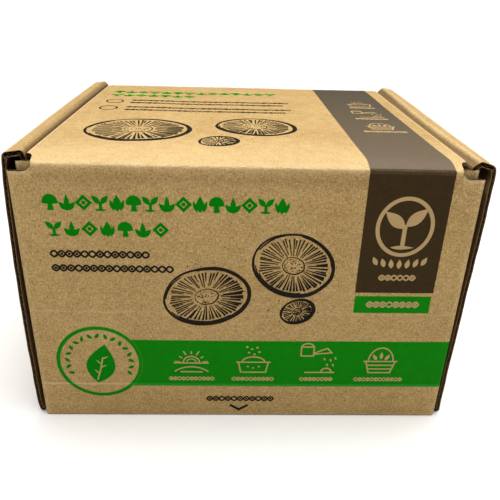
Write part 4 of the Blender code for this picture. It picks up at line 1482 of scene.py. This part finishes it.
def casing_bag():
    """A pillow bag of clear film round dark casing soil, with a flat seam at each end."""
    nu, nv = 190, 120
    fin = 9.0
    body = 99.4 - fin
    xs = np.concatenate([[-99.4, -97.0, -94.5, -92.0], np.sin(np.linspace(-1, 1, nu) * math.pi / 2) * body, [92.0, 94.5, 97.0, 99.4]])
    ts = np.sin(np.linspace(-1, 1, nv) * math.pi / 2)
    X, T = np.meshgrid(xs, ts, indexing="ij")
    u = np.clip(np.abs(X) / body, 0, 1)
    on_fin = step(np.abs(X), body - 0.5, body + 0.8)
    hy = 84.6 - 5.0 * (1 - u**3.2) + 0.5 * noise(X / 16.0, 0, 0, 121)
    Y = T * hy
    full = np.sqrt(np.clip(1 - np.abs(T) ** 2.5, 0, 1) * np.clip(1 - u**2.6, 0, 1))
    flat = np.clip(1 - np.abs(T) ** 7, 0, 1) * np.clip(1 - u**7, 0, 1)
    seam = np.exp(-(body - np.clip(np.abs(X), 0, body)) / 20.0)
    pleat = noise(Y / 5.2, X / 90.0, 0, 122) * 1.9 + noise(Y / 2.4, X / 60.0, 1, 123) * 0.7
    side = np.abs(T) ** 6
    tuck = noise(X / 6.5, T * 1.5, 3, 124) * 1.2 * side
    lump = 1.9 * noise(X / 30.0, Y / 30.0, 0, 125) + 0.7 * noise(X / 11.0, Y / 11.0, 1, 126) + 0.22 * noise(X / 4.0, Y / 4.0, 2, 127)
    crease_ = -0.8 * np.exp(-((noise(X / 26.0, Y / 26.0, 5, 128)) ** 2) / 0.0030)
    edge_z = 9.0 + 1.3 * noise(Y / 24.0, X / 70.0, 7, 129) * on_fin
    rise = 28.0 * full
    top = edge_z + rise + (lump + crease_) * full + (pleat * seam * 1.15 + tuck) * np.clip(full * 3, 0.0, 1)
    bot = edge_z * (1 - flat) + 0.35 * noise(X / 12.0, Y / 12.0, 3, 130) * flat
    gap_ = np.maximum(top - bot, 0.44)
    mid = (top + bot) / 2
    top, bot = mid + gap_ / 2, mid - gap_ / 2
    n = X.size
    z0 = 111.9
    p = np.concatenate([np.stack([X, Y + 125.5, top + z0], -1).reshape(-1, 3), np.stack([X, Y + 125.5, np.maximum(bot, 0.0) + z0], -1).reshape(-1, 3)])
    a_, b_ = X.shape
    faces = list(grid_faces(a_, b_)) + list(grid_faces(a_, b_, n, True)) + list(rim_faces(a_, b_, n))
    tone = np.concatenate([on_fin.ravel()] * 2)
    g = G("casing_bag")
    vec, xyz = g.vec_mm(g.attr("rest").outputs["Vector"])
    tone_ = E(g, g.attr("tone").outputs["Fac"])
    crumb = g.noise(vec, 4.2, 4.0, 0.62)
    fine = g.noise(vec, 1.1, 2.0, 0.6)
    col = g.mix((crumb * 1.5 + fine * 0.7 - 0.65).clamp(), (0.010, 0.006, 0.004), (0.085, 0.052, 0.030))
    lime = g.noise(vec, 1.7, 1.0, 0.4, 0.3)
    col = g.mix(lime.over(0.70, 0.05) * 0.55, col, (0.42, 0.38, 0.32))
    mist = g.noise(vec, 24.0, 3.0, 0.55)
    col = g.mix(((mist - 0.42) * 2.4).clamp() * 0.14, col, (0.62, 0.63, 0.62))
    crimp = (xyz[0] * (2 * math.pi / 1.5)).sin() * 0.5 + 0.5
    col = g.mix(tone_ * 0.88, col, g.mix((crimp * 0.7 + mist * 0.5).clamp(), (0.20, 0.20, 0.195), (0.44, 0.445, 0.44)))
    wr = g.noise(g.scaled(vec, (0.35, 1.0, 1.0)), 2.6, 3.0, 0.55, 0.7)
    g.set(Base_Color=col, Roughness=0.42, Normal=g.bump(wr * 0.5 + crumb * 0.35 + crimp * tone_ * 0.35, 0.8), Specular_IOR_Level=0.5, Coat_Weight=0.85, Coat_Roughness=0.10)
    o = stuff("casing_bag_film", p, faces, tone, g.mat, "casing_bag", smooth=70.0)


casing_bag()


# ---------------------------------------------------------------- floor, light
def floor():
    mesh = bpy.data.meshes.new("floor")
    n, size = 60, 9.0
    p, f = [], []
    for i in range(n + 1):
        for j in range(n + 1):
            p.append((-size + 2 * size * i / n, -size + 2 * size * j / n, -0.0002))
    for i in range(n):
        for j in range(n):
            a = i * (n + 1) + j
            f.append((a, a + n + 1, a + n + 2, a + 1))
    mesh.from_pydata(p, [], f)
    g = G("floor_matt")
    tc = g.nt.nodes.new("ShaderNodeTexCoord")
    vec, xyz = g.vec_mm(tc.outputs["Object"])
    n1 = g.noise(vec, 300.0, 2.0, 0.5)
    g.set(Base_Color=g.mix(n1, (0.84, 0.84, 0.84), (0.86, 0.86, 0.86)), Roughness=0.9, Specular_IOR_Level=0.2)
    mesh.materials.append(g.mat)
    o = bpy.data.objects.new("floor", mesh)
    bpy.context.scene.collection.objects.link(o)


floor()

world = bpy.data.worlds.new("studio")
bpy.context.scene.world = world
world.use_nodes = True
wn = world.node_tree
wn.nodes.clear()
out = wn.nodes.new("ShaderNodeOutputWorld")
bg_light, bg_seen = wn.nodes.new("ShaderNodeBackground"), wn.nodes.new("ShaderNodeBackground")
bg_light.inputs[0].default_value = (1.0, 0.99, 0.975, 1)
bg_light.inputs[1].default_value = 0.07
bg_seen.inputs[0].default_value = (1, 1, 1, 1)
bg_seen.inputs[1].default_value = 1.25
lp = wn.nodes.new("ShaderNodeLightPath")
mx = wn.nodes.new("ShaderNodeMixShader")
wn.links.new(lp.outputs["Is Camera Ray"], mx.inputs[0])
wn.links.new(bg_light.outputs[0], mx.inputs[1])
wn.links.new(bg_seen.outputs[0], mx.inputs[2])
wn.links.new(mx.outputs[0], out.inputs[0])


def area(name, at, look, size, power, colour=(1, 1, 1)):
    d = bpy.data.lights.new(name, "AREA")
    d.shape, d.size, d.size_y, d.energy, d.color = "RECTANGLE", size[0], size[1], power, colour
    o = bpy.data.objects.new(name, d)
    bpy.context.scene.collection.objects.link(o)
    o.location = at
    o.rotation_mode = "QUATERNION"
    o.rotation_quaternion = (Vector(look) - Vector(at)).to_track_quat("-Z", "Y")
    o.visible_camera = False
    return o


area("near_box", (0.05, -0.17, 0.80), (0.03, -0.12, 0.18), (0.7, 0.5), 3.1, (1.0, 0.985, 0.96))
area("front_box", (0.0, -0.44, 0.56), (0.0, -0.11, 0.16), (0.45, 0.3), 0.22, (1.0, 0.985, 0.96))

d = bpy.data.lights.new("wide_sun", "SUN")
d.energy, d.angle, d.color = 3.85, math.radians(70), (1.0, 0.99, 0.975)
o = bpy.data.objects.new("wide_sun", d)
bpy.context.scene.collection.objects.link(o)
o.rotation_euler = (math.radians(-8), math.radians(6), 0)

scene = bpy.context.scene
scene.view_settings.view_transform = "Standard"
scene.view_settings.look = "None"
